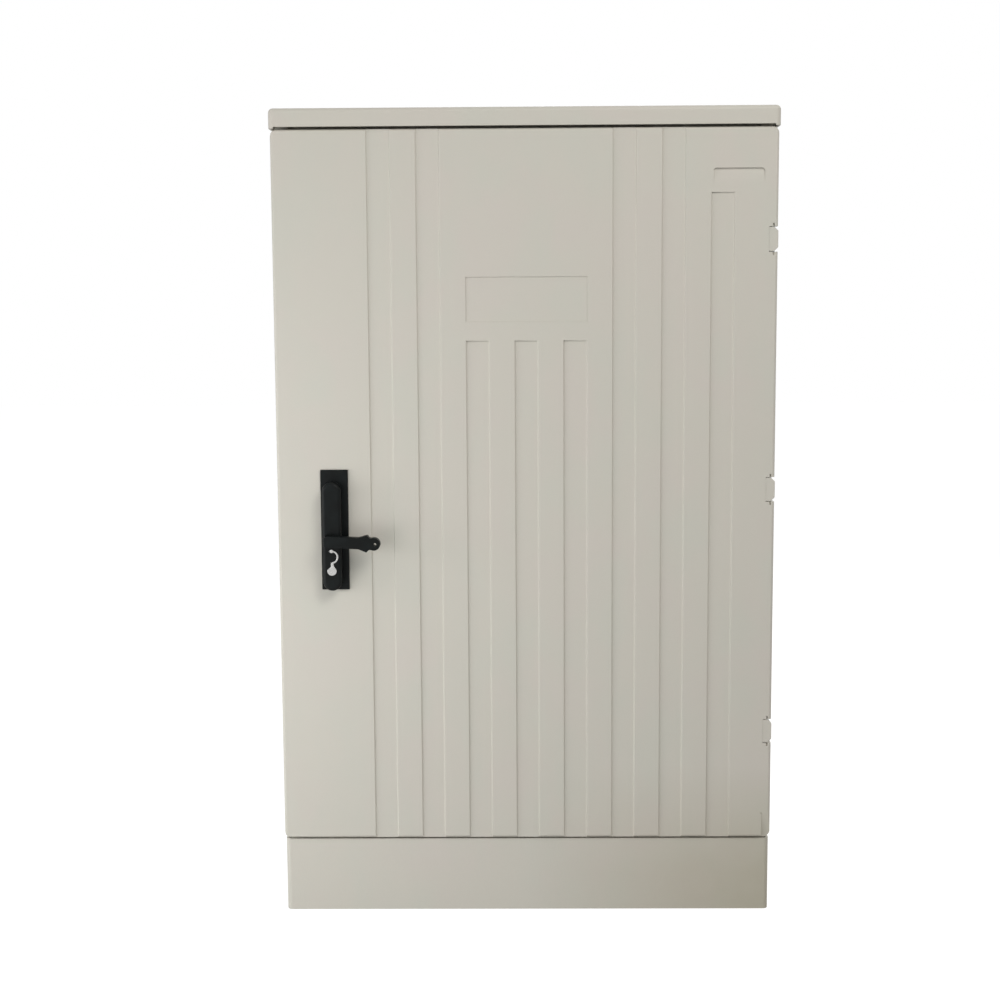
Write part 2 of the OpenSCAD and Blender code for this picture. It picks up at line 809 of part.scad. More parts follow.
module cable_rail() {
    y1 = rail_y + cable_rail_d;
    z0 = rail_mid - cable_rail_h / 2;
    z1 = rail_mid + cable_rail_h / 2;
    color("Silver") difference() {
        union() {
            difference() {
                block([-rail_end + 1, rail_y, z0], [rail_end - 1, y1, z1]);
                block([-rail_end, rail_y + sheet_t, z0 + sheet_t], [rail_end, y1 - sheet_t, z1 - sheet_t]);
                block([-rail_end, rail_y - 1, z0 + rail_mouth], [rail_end, rail_y + sheet_t + 1, z1 - rail_mouth]);
            }
            both_sides() block([rail_end - sheet_t, rail_y, z0], [rail_end, rail_fix_y + rail_tab_end, z1]);
        }
        both_sides() rail_screw_places() bar_x([-sheet_t - 1, 0, 0], 3.2, sheet_t + 2);
    }
}

module cable_rail_screws() {
    color("Silver") both_sides() rail_screw_places() {
        bar_x([-sheet_t, 0, 0], 2.95, sheet_t + rail_boss - 2);
        bar_x([-sheet_t - 3.5, 0, 0], 5.5, 3.5);
    }
}

// Hinges

module hinge_screw_places() {
    for (hz = hinge_zs, s = [-1, 1]) translate([hinge_screw_x, jog_y, hz + s * hinge_screw_z]) children();
}

// Round-flanked about its pin, so that the door's notch swings clear of it, and flush at the front
module hinge_block(i) {
    z0 = hinge_zs[i] - hinge_h / 2;
    z1 = hinge_zs[i] + hinge_h / 2;
    x1 = door_x + hinge_flush;
    c = hinge_corner;
    color("Gainsboro") difference() {
        union() {
            intersection() {
                bar_z([hinge_x, hinge_y, z0], hinge_block_r, hinge_h);
                slab_y(front + hinge_flush, jog_y) polygon([[rim_x, z0], [x1 - c, z0], [x1, z0 + c],
                    [x1, z1 - c], [x1 - c, z1], [rim_x, z1]]);
            }
            block([hinge_x - hinge_stem, hinge_y, z0 + 1], [side_x, jog_y - 1, z1 - 1]);
            block([rim_x + 1.5, jog_y - hinge_foot, z0], [side_x, jog_y, z1]);
        }
        bar_z([hinge_x, hinge_y, hinge_zs[i] - hinge_h], hinge_pin_r, 2 * hinge_h);
        hinge_screw_places() bar_y([0, -hinge_foot + 0.5, 0], 2.5, hinge_foot);
    }
}

module hinge_pin(i) {
    l = hinge_notch_h + 2 * hinge_lug_h - 1;
    color("Silver") bar_z([hinge_x, hinge_y, hinge_zs[i] - l / 2], hinge_pin_r, l);
}

module hinge_block_lower() {
    hinge_block(0);
}

module hinge_block_middle() {
    hinge_block(1);
}

module hinge_block_upper() {
    hinge_block(2);
}

module hinge_pin_lower() {
    hinge_pin(0);
}

module hinge_pin_middle() {
    hinge_pin(1);
}

module hinge_pin_upper() {
    hinge_pin(2);
}

module hinge_screws() {
    color("Silver") hinge_screw_places() screw_y([0, wall, 0], 2.5, wall + hinge_foot - 0.5, 4.2, 3);
}

// Door

// Top of a band: the three under the label recess and the last one stop short of the door's top
function band_top(i, high) = (i > 1 && i < 5) ? door_z0 + band_mid_top
    : (i == bands - 1) ? door_z0 + band_last_top : high;

module door_bands() {
    for (i = [0:bands - 1])
        translate([-door_x, front, 0])
            band_cut(band_start + i * band_pitch, door_z0 - 1, band_top(i, door_z1 + 1), band_d);
}

module door_band_pads() {
    low = rim_z0 + seal_w + 2;
    high = rim_z1 - seal_w - 2;
    for (i = [0:bands - 1]) translate([-door_x, front, 0])
        band_pad(band_start + i * band_pitch, low, min(band_top(i, high) + 2, high));
}

// The bare label recess above the three shorter bands
module label_recess() {
    x0 = -door_x + band_start + 2 * band_pitch;
    block([x0, front - 1, door_z0 + label_z],
        [x0 + 2 * band_pitch + band_w, front + label_d, door_z0 + label_z + label_h]);
}

// Deepest at its top edge and running out to nothing below
module taper_recess() {
    x1 = door_x - taper_edge;
    x0 = x1 - taper_w;
    z1 = door_z1 - taper_drop;
    z0 = z1 - taper_h;
    r = taper_corner;
    intersection() {
        slab_x(x0 - 1, x1 + 1) polygon([[front, z0], [front + taper_d, z1 - 2], [front + taper_d, z1 + 1],
            [front - 1, z1 + 1], [front - 1, z0]]);
        slab_y(front - 2, front + taper_d + 1) {
            translate([x0, z0 - 1]) square([taper_w, taper_h + 1 - r]);
            translate([x0 + r, z0]) square([taper_w - 2 * r, taper_h]);
            for (x = [x0 + r, x1 - r]) translate([x, z1 - r]) circle(r);
        }
    }
}

module corner_relief() {
    x0 = door_x - relief_w;
    z1 = door_z0 + relief_h;
    r = relief_corner;
    intersection() {
        slab_x(x0 - r - 1, door_x + 1) polygon([[front, z1], [front - 1, z1], [front - 1, door_z0 - 1],
            [front + relief_d, door_z0 - 1]]);
        slab_y(front - 2, front + relief_d + 1) union() {
            translate([x0, door_z0 - 2]) square([relief_w + 2, relief_h + 3]);
            difference() {
                translate([x0 - r, door_z0 - 2]) square([r + 1, r + 2]);
                translate([x0 - r, door_z0 + r]) circle(r);
            }
        }
    }
    bar_y([x0 - pit_r / 2, front - 1, z1], pit_r, pit_d + 1);
}

// A rectangle with round corners
module round_outline(x0, x1, z0, z1, r) {
    translate([x0 + r, z0]) square([x1 - x0 - 2 * r, z1 - z0]);
    translate([x0, z0 + r]) square([x1 - x0, z1 - z0 - 2 * r]);
    for (x = [x0 + r, x1 - r], z = [z0 + r, z1 - r]) translate([x, z]) circle(r);
}

// The door's section across its front: a strip whose two front corners are rolled over
module rolled_section(a0, a1) {
    translate([a0, front + door_roll]) square([a1 - a0, door_t - door_roll]);
    translate([a0 + door_roll, front]) square([a1 - a0 - 2 * door_roll, door_t]);
    for (a = [a0 + door_roll, a1 - door_roll]) translate([a, front + door_roll]) circle(door_roll);
}

module door_pan() {
    difference() {
        intersection() {
            slab_y(front - 1, door_back) round_outline(-door_x, door_x, door_z0, door_z1, door_corner);
            translate([0, 0, door_z0 - 1]) linear_extrude(door_h + 2) rolled_section(-door_x, door_x);
            rotate([0, -90, 0]) linear_extrude(door_w + 2, center = true) rolled_section(door_z0, door_z1);
        }
        slab_y(door_in, door_back + 1) round_outline(-door_x + wall, door_x - wall, door_z0 + wall,
            door_z1 - wall, door_corner - wall);
    }
}

module hinge_lugs() {
    for (hz = hinge_zs, s = [-1, 1]) {
        z = hz + s * (hinge_notch_h + hinge_lug_h) / 2;
        block([door_x - 2 * hinge_inset, door_in - 1, z - hinge_lug_h / 2],
            [door_x - wall / 2, hinge_y + 7, z + hinge_lug_h / 2]);
    }
}

module hinge_cuts() {
    notch_r = hinge_block_r + hinge_flank_gap;
    for (hz = hinge_zs) {
        z0 = hz - hinge_notch_h / 2;
        z1 = hz + hinge_notch_h / 2;
        bar_z([hinge_x, hinge_y, z0], notch_r, hinge_notch_h);
        block([hinge_x, front - 1, z0], [door_x + 1, door_back + 1, z1]);
        l = hinge_notch_h + 2 * hinge_lug_h;
        bar_z([hinge_x, hinge_y, hz - l / 2 - 1], hinge_pin_r + run_fit, l + 2);
        block([hinge_x - hinge_slit_w / 2, front - 1, z0 - hinge_slit_l],
            [hinge_x + hinge_slit_w / 2, front + hinge_slit_d, z1 + hinge_slit_l]);
    }
}

module door_panel() {
    color("Gainsboro") difference() {
        union() {
            door_pan();
            door_band_pads();
            hinge_lugs();
        }
        door_bands();
        label_recess();
        taper_recess();
        corner_relief();
        hinge_cuts();
        bar_y([lock_x, front - 1, lock_z], spindle_r + set_fit, wall + 2);
        lock_screw_places() bar_y([0, -wall - 1, 0], 2.7, wall + 2);
        guide_screw_places() bar_y([0, -2, 0], 1.6, 3);
    }
}

module door_seal() {
    x1 = rim_x - wall / 2 + seal_w / 2;
    z0 = rim_z0 + wall / 2 - seal_w / 2;
    z1 = rim_z1 - wall / 2 + seal_w / 2;
    color("DimGray") difference() {
        block([-x1, door_in, z0], [x1, rim_front, z1]);
        block([-x1 + seal_w, door_in - 1, z0 + seal_w], [x1 - seal_w, rim_front + 1, z1 - seal_w]);
    }
}

// Lock, outside

module lock_screw_places() {
    for (s = [-1, 1]) translate([lock_x, door_in, lock_z + s * lock_screw_z]) children();
}

module lock_plate() {
    color("DarkSlateGray") difference() {
        union() {
            block([lock_x - lock_plate_w / 2, front - lock_plate_t, lock_z - lock_plate_down],
                [lock_x + lock_plate_w / 2, front, lock_z + lock_plate_up]);
            hull() for (z = [lock_z - lock_body_down + lock_body_r, lock_z + lock_body_up - lock_body_r])
                translate([key_x, front, z]) rotate([90, 0, 0]) roll_post(lock_body_r, lock_roll, lock_body_t);
        }
        bar_y([lock_x, lock_front - 1, lock_z], spindle_r + run_fit, lock_body_t + 2);
        bar_y([key_x, lock_front - 1, key_z], cylinder_r, lock_body_t);
        bar_y([cover_x, lock_front - 1, cover_z], rivet_r, 8);
        lock_screw_places() bar_y([0, -wall - 14, 0], 2.5, 15);
        block([key_x - pocket_w, lock_front + lock_roll, lock_z + lock_screw_z + pocket_rise],
            [key_x + pocket_w, front + 1, lock_z + lock_body_up - pocket_end]);
    }
}

module lock_cylinder() {
    color("Silver") difference() {
        bar_y([key_x, lock_front + 0.2, key_z], cylinder_r, lock_body_t - 1.2);
        bar_y([key_x, lock_front - 1, key_z], plug_r + run_fit, lock_body_t - 4);
    }
}

module key_plug() {
    color("LightGrey") difference() {
        bar_y([key_x, lock_front + 0.1, key_z], plug_r, lock_body_t - 6);
        block([key_x - 0.8, lock_front - 1, key_z - 3.2], [key_x + 0.8, lock_front + 14, key_z + 3.2]);
    }
}

// A polished disc on a hooked arm
module keyhole_cover() {
    arm_z = cover_z - cover_arm_r;
    outer = cover_arm_r + cover_arm_w / 2;
    color("WhiteSmoke") difference() {
        union() {
            bar_y([cover_x, cover_front, cover_z], 3.1, cover_t);
            bar_y([key_x, cover_front, key_z], cover_r, cover_t);
            difference() {
                bar_y([cover_x, cover_front, arm_z], outer, cover_t);
                bar_y([cover_x, cover_front - 1, arm_z], outer - cover_arm_w, cover_t + 2);
                block([cover_x - 2 * outer, cover_front - 1, arm_z - 2 * outer],
                    [cover_x, cover_back + 1, arm_z + 2 * outer]);
            }
            slab_y(cover_front, cover_back) polygon([[key_x - 1.5, key_z + 2], [key_x + 4.5, key_z + 2],
                [cover_x + 2.6, arm_z - outer + 1.4], [cover_x - 1.4, arm_z - outer + 1.4]]);
        }
        bar_y([cover_x, cover_front - 1, cover_z], rivet_r + run_fit, cover_t + 2);
        bar_y([key_x - bite_x, cover_front - 1, key_z + bite_z], bite_r, cover_t + 2);
    }
}

module cover_rivet() {
    color("Silver") {
        bar_y([cover_x, cover_front - 0.1, cover_z], rivet_r, cover_t + cover_gap + 7);
        bar_y([cover_x, cover_front - 1.4, cover_z], 2.7, 1.3);
    }
}

// The lever's front outline about the spindle: a straight bar, two barbs and a round end
module lever_outline() {
    tip = lever_end_r - lever_shoulder;
    step_x = lever_end - lever_step;
    point_x = lever_end - lever_point;
    flare_x = lever_end - lever_flare;
    round_outline(-lever_tail, flare_x, -lever_neck, lever_neck, lever_round);
    translate([lever_end, 0]) circle(lever_end_r);
    polygon([[0, -lever_neck], [flare_x, -lever_neck], [point_x, -lever_barb], [step_x, -tip],
        [lever_end, -tip], [lever_end, tip], [step_x, tip], [point_x, lever_barb], [flare_x, lever_neck],
        [0, lever_neck]]);
}

module lever_handle() {
    color("DarkSlateGray") difference() {
        union() {
            slab_y(lever_front, lever_back) translate([lock_x, lock_z]) rotate(-lever_droop) lever_outline();
            bar_y([lock_x, lever_back - 1, lock_z], spindle_r + 3, lever_gap + 1 - cover_gap);
        }
        translate([lock_x, 0, lock_z]) rotate([0, lever_droop, 0])
            bar_y([lever_end + lever_hole_on, lever_front - 1, 0], lever_hole_r, lever_t + 2);
        square_bar(lever_front + 3, lock_front + 1, run_fit);
    }
}

// Lock, inside

module square_bar(y0, y1, fit) {
    w = square_w / 2 + fit;
    block([lock_x - w, y0, lock_z - w], [lock_x + w, y1, lock_z + w]);
}

module lock_spindle() {
    color("Silver") difference() {
        union() {
            square_bar(lever_front + 3, rod_y1, 0);
            bar_y([lock_x, lock_front, lock_z], spindle_r, case_y0 - lock_front);
            bar_y([lock_x, rod_y1 - 1, lock_z], journal_r, case_y2 - rod_y1 + 1);
        }
        bar_y([lock_x, case_y2 - 10, lock_z], 2, 11);
    }
}

module spindle_screw() {
    color("Silver") {
        bar_y([lock_x, case_y2 - 9, lock_z], 2, 9.5);
        bar_y([lock_x, case_y2, lock_z], square_w / 2 + 2, 3);
    }
}

function inv_deg(r) = tan(acos(base_r / r)) * 180 / PI - acos(base_r / r);
function flank_deg(r) = tooth_s / (2 * pitch_r) * 180 / PI + inv_deg(pitch_r) - inv_deg(r);
function polar(r, a) = [r * cos(a), r * sin(a)];
flank_rs = [for (k = [0:4]) base_r + 0.001 + k * (tip_r - base_r - 0.001) / 4];

module pinion() {
    outline = [for (t = [0:teeth - 1]) let (a = t * 360 / teeth) each concat(
        [polar(root_r, a - flank_deg(flank_rs[0]))],
        [for (r = flank_rs) polar(r, a - flank_deg(r))],
        [for (k = [4:-1:0]) polar(flank_rs[k], a + flank_deg(flank_rs[k]))],
        [polar(root_r, a + flank_deg(flank_rs[0]))])];
    color("Silver") difference() {
        slab_y(rod_y0 - 1, rod_y1 - 0.5) translate([lock_x, lock_z]) polygon(outline);
        square_bar(rod_y0 - 3, rod_y1 + 3, run_fit);
    }
}

// A rack beside the pinion, seen from the spindle, with its rod running up to reach
module rack_rod(reach) {
    half = tooth_s / 2;
    tip = half - rack_add * tan(press_a);
    foot = half + (rack_ded + 0.4) * tan(press_a);
    slab_y(rod_y0, rod_y1) {
        for (k = [-5:1]) translate([pitch_r, (k + 0.5) * rack_p]) polygon([[rack_ded + 0.4, -foot],
            [-rack_add, -tip], [-rack_add, tip], [rack_ded + 0.4, foot]]);
        translate([pitch_r + rack_ded, -rack_low]) square([rack_back - pitch_r - rack_ded, rack_low + rack_high]);
    }
    translate([rod_off, rod_y, 0]) rotate_extrude() polygon([[0, rack_high - 2], [rod_r, rack_high - 2],
        [rod_r, reach - 3], [rod_r - 2, reach], [0, reach]]);
}

module upper_rod() {
    color("Silver") translate([lock_x, 0, lock_z]) rack_rod(upper_tip - lock_z);
}

module lower_rod() {
    color("Silver") translate([lock_x, 0, lock_z]) rotate([0, 0, 180]) mirror([0, 1, 0]) mirror([0, 0, 1])
        rack_rod(lock_z - lower_tip);
}

module case_screw_places() {
    for (sx = [-1, 1], sz = [-1, 1])
        translate([lock_x + sx * case_screw_x, case_y2, lock_z + sz * case_screw_z]) children();
}

module lock_case() {
    color("LightGrey") difference() {
        union() {
            block([lock_x - case_w, door_in, lock_z - case_h], [lock_x + case_w, case_y0, lock_z + case_h]);
            for (s = [-1, 1]) translate([lock_x + s * case_screw_x, 0, lock_z])
                block([-(case_out - case_in) / 2, case_y0 - 1, -case_h],
                    [(case_out - case_in) / 2, case_y1, case_h]);
        }
        bar_y([lock_x, door_in - 1, lock_z], spindle_r + run_fit, case_plate + 2);
        lock_screw_places() bar_y([0, -1, 0], 2.7, case_plate + 2);
        case_screw_places() bar_y([0, -case_cover_t - 9, 0], 1.5, 11);
    }
}

module lock_case_cover() {
    color("LightGrey") difference() {
        block([lock_x - case_out, case_y1, lock_z - case_h], [lock_x + case_out, case_y2, lock_z + case_h]);
        bar_y([lock_x, case_y1 - 1, lock_z], journal_r + run_fit, case_cover_t + 2);
        case_screw_places() bar_y([0, -case_cover_t - 1, 0], 1.7, case_cover_t + 2);
    }
}

module lock_case_screws() {
    color("Silver") case_screw_places() screw_y([0, 0, 0], 1.5, case_cover_t + 8, 2.9, 2);
}

module lock_screws() {
    color("Silver") lock_screw_places() screw_y([0, case_plate, 0], 2.5, case_plate + wall + 12, 4.2, 2.5);
}

module guide_screw_places() {
    for (s = [-1, 1]) {
        translate([lock_x + rod_off + s * guide_screw_x, door_in, door_z1 - guide_end]) children();
        translate([lock_x - rod_off + s * guide_screw_x, door_in, door_z0 + guide_end]) children();
    }
}

module rod_guide(x, z) {
    color("DimGray") difference() {
        block([x - guide_w, door_in, z - guide_h / 2], [x + guide_w, guide_y1, z + guide_h / 2]);
        bar_z([x, rod_y, z - guide_h], rod_r + rod_fit, 2 * guide_h);
        guide_screw_places() bar_y([0, -1, 0], 1.7, guide_y1 - door_in + 2);
    }
}

module rod_guide_upper() {
    rod_guide(lock_x + rod_off, door_z1 - guide_end);
}

module rod_guide_lower() {
    rod_guide(lock_x - rod_off, door_z0 + guide_end);
}

module guide_screws() {
    color("Silver") guide_screw_places()
        screw_y([0, guide_y1 - door_in, 0], 1.6, guide_y1 - door_in + 2, 2.9, 2);
}

// Strikes

module strike_screw_places_upper() {
    for (s = [-1, 1]) translate([lock_x + rod_off + s * 8, web_back, rim_z1 + 6]) children();
}

module strike_screw_places_lower() {
    for (s = [-1, 1]) translate([lock_x - rod_off + s * 8, web_back, rim_z0 - 4]) children();
}

// A bracket on the rail's web whose lip hangs in front of the rod's end
module strike_bracket(x, z, up) {
    translate([x, 0, z]) scale([1, 1, up]) {
        block([-strike_w, strike_front, -sheet_t], [strike_w, web_back + sheet_t, 0]);
        block([-strike_w, strike_front, -sheet_t - strike_lip], [strike_w, strike_front + sheet_t, 0]);
    }
}

module strike_plate_upper() {
    x = lock_x + rod_off;
    color("Silver") difference() {
        union() {
            strike_bracket(x, strike_z1, 1);
            block([x - strike_w, web_back, strike_z1 - sheet_t], [x + strike_w, web_back + sheet_t, rim_z1 + 13]);
        }
        strike_screw_places_upper() bar_y([0, -1, 0], 2.4, sheet_t + 2);
    }
}

module strike_plate_lower() {
    x = lock_x - rod_off;
    color("Silver") difference() {
        union() {
            strike_bracket(x, strike_z0, -1);
            block([x - strike_w, web_back, floor_z + 1], [x + strike_w, web_back + sheet_t, strike_z0 + sheet_t]);
        }
        strike_screw_places_lower() bar_y([0, -1, 0], 2.4, sheet_t + 2);
    }
}

module strike_screws() {
    color("Silver") {
        strike_screw_places_upper() screw_y([0, sheet_t, 0], 2.2, sheet_t + wall, 3.8, 2.5);
        strike_screw_places_lower() screw_y([0, sheet_t, 0], 2.2, sheet_t + wall, 3.8, 2.5);
    }
}

plinth_front_cover();
plinth_rear_cover();
plinth_left_frame();
plinth_right_frame();
plinth_bolts();
floor_plate_front();
floor_plate_rear();
cable_edge_strips();
base_bolts();
left_side_panel();
right_side_panel();
rear_panel();
top_rail();
bottom_rail();
panel_bolts();
rail_bolts();
roof();
roof_bolts();
mounting_plate();
mounting_screws();
cable_rail();
cable_rail_screws();
hinge_block_lower();
hinge_block_middle();
hinge_block_upper();
hinge_pin_lower();
hinge_pin_middle();
hinge_pin_upper();
hinge_screws();
strike_plate_upper();
strike_plate_lower();
strike_screws();
door_panel();
door_seal();
lock_plate();
lock_cylinder();
key_plug();
keyhole_cover();
cover_rivet();
lock_case();
lock_case_cover();
lock_case_screws();
lock_screws();
rod_guide_upper();
rod_guide_lower();
guide_screws();
lever_handle();
lock_spindle();
pinion();
spindle_screw();
upper_rod();
lower_rod();
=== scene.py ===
"""Looks of a floor-standing distribution cabinet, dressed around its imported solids.

Every mesh takes its place and size from the frame. Moulded and machined pieces keep the form of their solid
and get softened edges; fasteners, seals and edge strips are modelled anew in the space of theirs.
"""

import json
import logging
import math
from dataclasses import dataclass
from enum import Enum
from functools import cache
from typing import Callable, Iterable, Sequence

import bmesh
import bpy
from mathutils import Matrix, Vector
from mathutils.geometry import delaunay_2d_cdt


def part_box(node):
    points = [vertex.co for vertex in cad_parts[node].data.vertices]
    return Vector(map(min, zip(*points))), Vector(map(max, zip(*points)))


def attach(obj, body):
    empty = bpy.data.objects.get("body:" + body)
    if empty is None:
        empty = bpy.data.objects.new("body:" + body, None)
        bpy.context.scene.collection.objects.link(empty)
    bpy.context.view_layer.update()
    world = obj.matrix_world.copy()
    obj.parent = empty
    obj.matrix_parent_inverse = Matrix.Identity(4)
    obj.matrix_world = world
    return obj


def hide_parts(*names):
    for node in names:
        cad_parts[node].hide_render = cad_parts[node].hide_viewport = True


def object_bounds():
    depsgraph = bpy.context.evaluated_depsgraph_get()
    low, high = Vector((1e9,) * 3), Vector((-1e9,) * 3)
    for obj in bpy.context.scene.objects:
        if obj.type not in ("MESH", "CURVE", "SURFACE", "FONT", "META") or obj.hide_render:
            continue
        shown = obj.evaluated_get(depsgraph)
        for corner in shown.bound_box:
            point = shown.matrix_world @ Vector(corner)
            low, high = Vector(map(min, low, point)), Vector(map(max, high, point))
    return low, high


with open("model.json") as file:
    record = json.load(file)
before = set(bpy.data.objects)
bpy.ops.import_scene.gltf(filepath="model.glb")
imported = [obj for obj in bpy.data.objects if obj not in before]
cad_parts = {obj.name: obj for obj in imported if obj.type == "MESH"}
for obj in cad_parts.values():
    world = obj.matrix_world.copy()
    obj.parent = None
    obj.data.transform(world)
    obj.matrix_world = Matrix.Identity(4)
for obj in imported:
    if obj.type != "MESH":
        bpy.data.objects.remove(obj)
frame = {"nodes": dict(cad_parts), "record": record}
CAD_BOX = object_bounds()

Triple = tuple[float, float, float]
Span = tuple[float, float]
Socket = bpy.types.NodeSocket
EdgeTest = Callable[[bmesh.types.BMEdge], bool]

MM = 0.001
log = logging.getLogger("cabinet")

# Sockets of a colour mix, which Blender tells apart only by number
MIX_SHARE, MIX_FIRST, MIX_SECOND, MIX_RESULT = 0, 6, 7, 2

# Limits of the mesh work
WELD = 0.004 * MM
SLIVER = 0.002 * MM
LEVEL = 0.05 * MM
FLAT_DEG = 0.4
FLAT_COSINE = 0.99998
FOLD_LIMIT = 1.0 * MM**2
GROWTH_LIMIT = 1.002
WIDTH_SHARES = (1.0, 0.75, 0.5, 0.3, 0.15)


class Body(Enum):
    """The rigid bodies that pieces ride on."""

    CABINET = "cabinet"
    DOOR = "door"
    LEVER = "lever"
    UPPER_ROD = "upper_locking_rod"
    LOWER_ROD = "lower_locking_rod"
    COVER = "dust_cover"
    PLUG = "plug"


class Head(Enum):
    """The shapes of a fastener's head."""

    HEXAGON = "hexagon"
    DOME = "dome"
    SOCKET = "socket"


# Node trees


@dataclass(frozen=True)
class Noise:
    """A noise or cell texture, and how the middle of its values is spread over a span of results."""

    scale: float
    result: Span = (0.0, 1.0)
    within: Span = (0.3, 0.7)
    detail: float = 3.0
    rough: float = 0.5
    stretch: Triple = (1.0, 1.0, 1.0)


@dataclass(frozen=True)
class Relief:
    """A bump: the height that a value of 1 stands for, and how much of it shows."""

    height: float
    strength: float


class Graph:
    """The node tree of a material or of the surround, with short calls for the nodes that are used."""

    def __init__(self, owner: bpy.types.Material | bpy.types.World) -> None:
        """Starts an empty tree.

        Args:
            owner: What the tree belongs to.
        """
        owner.use_nodes = True
        self.owner = owner
        self.tree = owner.node_tree
        self.tree.nodes.clear()
        self.place = self.add("ShaderNodeTexCoord").outputs["Object"]

    def add(self, kind: str, **settings: object) -> bpy.types.Node:
        """Adds a node.

        Args:
            kind: The node's type name.
            **settings: Attributes to set on the node.

        Returns:
            The new node.
        """
        node = self.tree.nodes.new(kind)
        for key, value in settings.items():
            setattr(node, key, value)
        return node

    def feed(self, socket: Socket, value: object) -> None:
        """Links a socket to another one, or sets its own value.

        Args:
            socket: The input to fill.
            value: An output socket, a number, a vector or a colour.
        """
        if isinstance(value, bpy.types.NodeSocket):
            self.tree.links.new(value, socket)
        elif socket.type == "RGBA":
            socket.default_value = (*value, 1.0)
        else:
            socket.default_value = value

    def filled(self, kind: str, **inputs: object) -> bpy.types.Node:
        """Adds a node and fills its inputs.

        Args:
            kind: The node's type name.
            **inputs: Values for the inputs, with underscores for the spaces in their names.

        Returns:
            The new node.
        """
        node = self.add(kind)
        for key, value in inputs.items():
            self.feed(node.inputs[key.replace("_", " ")], value)
        return node

    def joined(self, operation: str, values: Sequence[Socket]) -> Socket:
        """Joins several values by one operation, pair after pair.

        Args:
            operation: The operation's name.
            values: The values, in order.

        Returns:
            The result.
        """
        total = values[0]
        for value in values[1:]:
            node = self.add("ShaderNodeMath", operation=operation)
            self.feed(node.inputs[0], total)
            self.feed(node.inputs[1], value)
            total = node.outputs[0]
        return total

    def noise(self, noise: Noise) -> Socket:
        """Adds a noise texture.

        Args:
            noise: Its scale in cells per metre, its detail and its stretch.

        Returns:
            The noise's own values, about 0.5 in the mean.
        """
        at = self.filled("ShaderNodeMapping", Vector=self.place, Scale=noise.stretch).outputs["Vector"]
        texture = self.filled(
            "ShaderNodeTexNoise", Vector=at, Scale=noise.scale, Detail=noise.detail, Roughness=noise.rough
        )
        return texture.outputs["Fac"]

    def spread(self, value: Socket, result: Span, within: Span = (0.0, 1.0)) -> Socket:
        """Maps a value from one span to another, and holds it there.

        Args:
            value: The value to map.
            result: Results at the start and the end.
            within: Values that give these results.

        Returns:
            The mapped value.
        """
        node = self.filled(
            "ShaderNodeMapRange",
            Value=value,
            From_Min=within[0],
            From_Max=within[1],
            To_Min=result[0],
            To_Max=result[1],
        )
        return node.outputs["Result"]

    def cloud(self, noise: Noise) -> Socket:
        """Returns a noise that is spread over its span of results."""
        return self.spread(self.noise(noise), noise.result, noise.within)

    def cells(self, noise: Noise) -> Socket:
        """Returns a random value for each cell of a texture, spread over its span of results."""
        texture = self.filled("ShaderNodeTexVoronoi", Vector=self.place, Scale=noise.scale)
        return self.spread(texture.outputs["Color"], noise.result, noise.within)

    def ramp(self, axis: str, within: Span) -> Socket:
        """Returns a value that goes from 0 to 1 between two places along one of the object's axes."""
        parts = self.filled("ShaderNodeSeparateXYZ", Vector=self.place)
        return self.spread(parts.outputs[axis], (0.0, 1.0), within)

    def mix(self, share: Socket, first: Socket | Triple, second: Socket | Triple) -> Socket:
        """Mixes two colours by a share of the second.

        Args:
            share: How much of the second colour, from 0 to 1.
            first: A colour or a colour socket.
            second: A colour or a colour socket.

        Returns:
            The mixed colour.
        """
        node = self.add("ShaderNodeMix", data_type="RGBA")
        self.feed(node.inputs[MIX_SHARE], share)
        self.feed(node.inputs[MIX_FIRST], first)
        self.feed(node.inputs[MIX_SECOND], second)
        return node.outputs[MIX_RESULT]

    def bump(self, values: Socket, relief: Relief, under: Socket | None = None) -> Socket:
        """Adds a bump.

        Args:
            values: The height texture.
            relief: Its height and strength.
            under: A normal to add the bump to.

        Returns:
            The bumped normal.
        """
        node = self.filled("ShaderNodeBump", Height=values, Distance=relief.height, Strength=relief.strength)
        if under is not None:
            self.feed(node.inputs["Normal"], under)
        return node.outputs["Normal"]

    def end(self, kind: str, shader: bpy.types.Node) -> None:
        """Ends the tree in an output node of a kind, fed by a shader's first output."""
        self.feed(self.add(kind).inputs["Surface"], shader.outputs[0])


# Finishes


@dataclass(frozen=True)
class Finish:
    """A finish of two tones, mixed by a noise, with an uneven gloss and a fine relief."""

    slot: str
    low: Triple
    high: Triple
    tone: Noise
    gloss: Noise
    grit: Noise
    relief: Relief
    metal: float = 0.0
    shine: float = 0.5

    @cache
    def material(self) -> bpy.types.Material:
        """Makes the finish's material on the first call.

        Returns:
            The material, the same one each time.
        """
        g = Graph(bpy.data.materials.new(self.slot))
        shader = g.filled(
            "ShaderNodeBsdfPrincipled",
            Base_Color=self.colour(g),
            Metallic=self.metal,
            Roughness=self.roughness(g),
            Normal=self.normal(g),
            Specular_IOR_Level=self.shine,
        )
        g.end("ShaderNodeOutputMaterial", shader)
        return g.owner

    def colour(self, g: Graph) -> Socket:
        """Returns the colour of the surface."""
        return g.mix(g.cloud(self.tone), self.low, self.high)

    def roughness(self, g: Graph) -> Socket:
        """Returns the roughness of the surface."""
        return g.cloud(self.gloss)

    def normal(self, g: Graph) -> Socket:
        """Returns the normal of the surface."""
        return g.bump(g.noise(self.grit), self.relief)


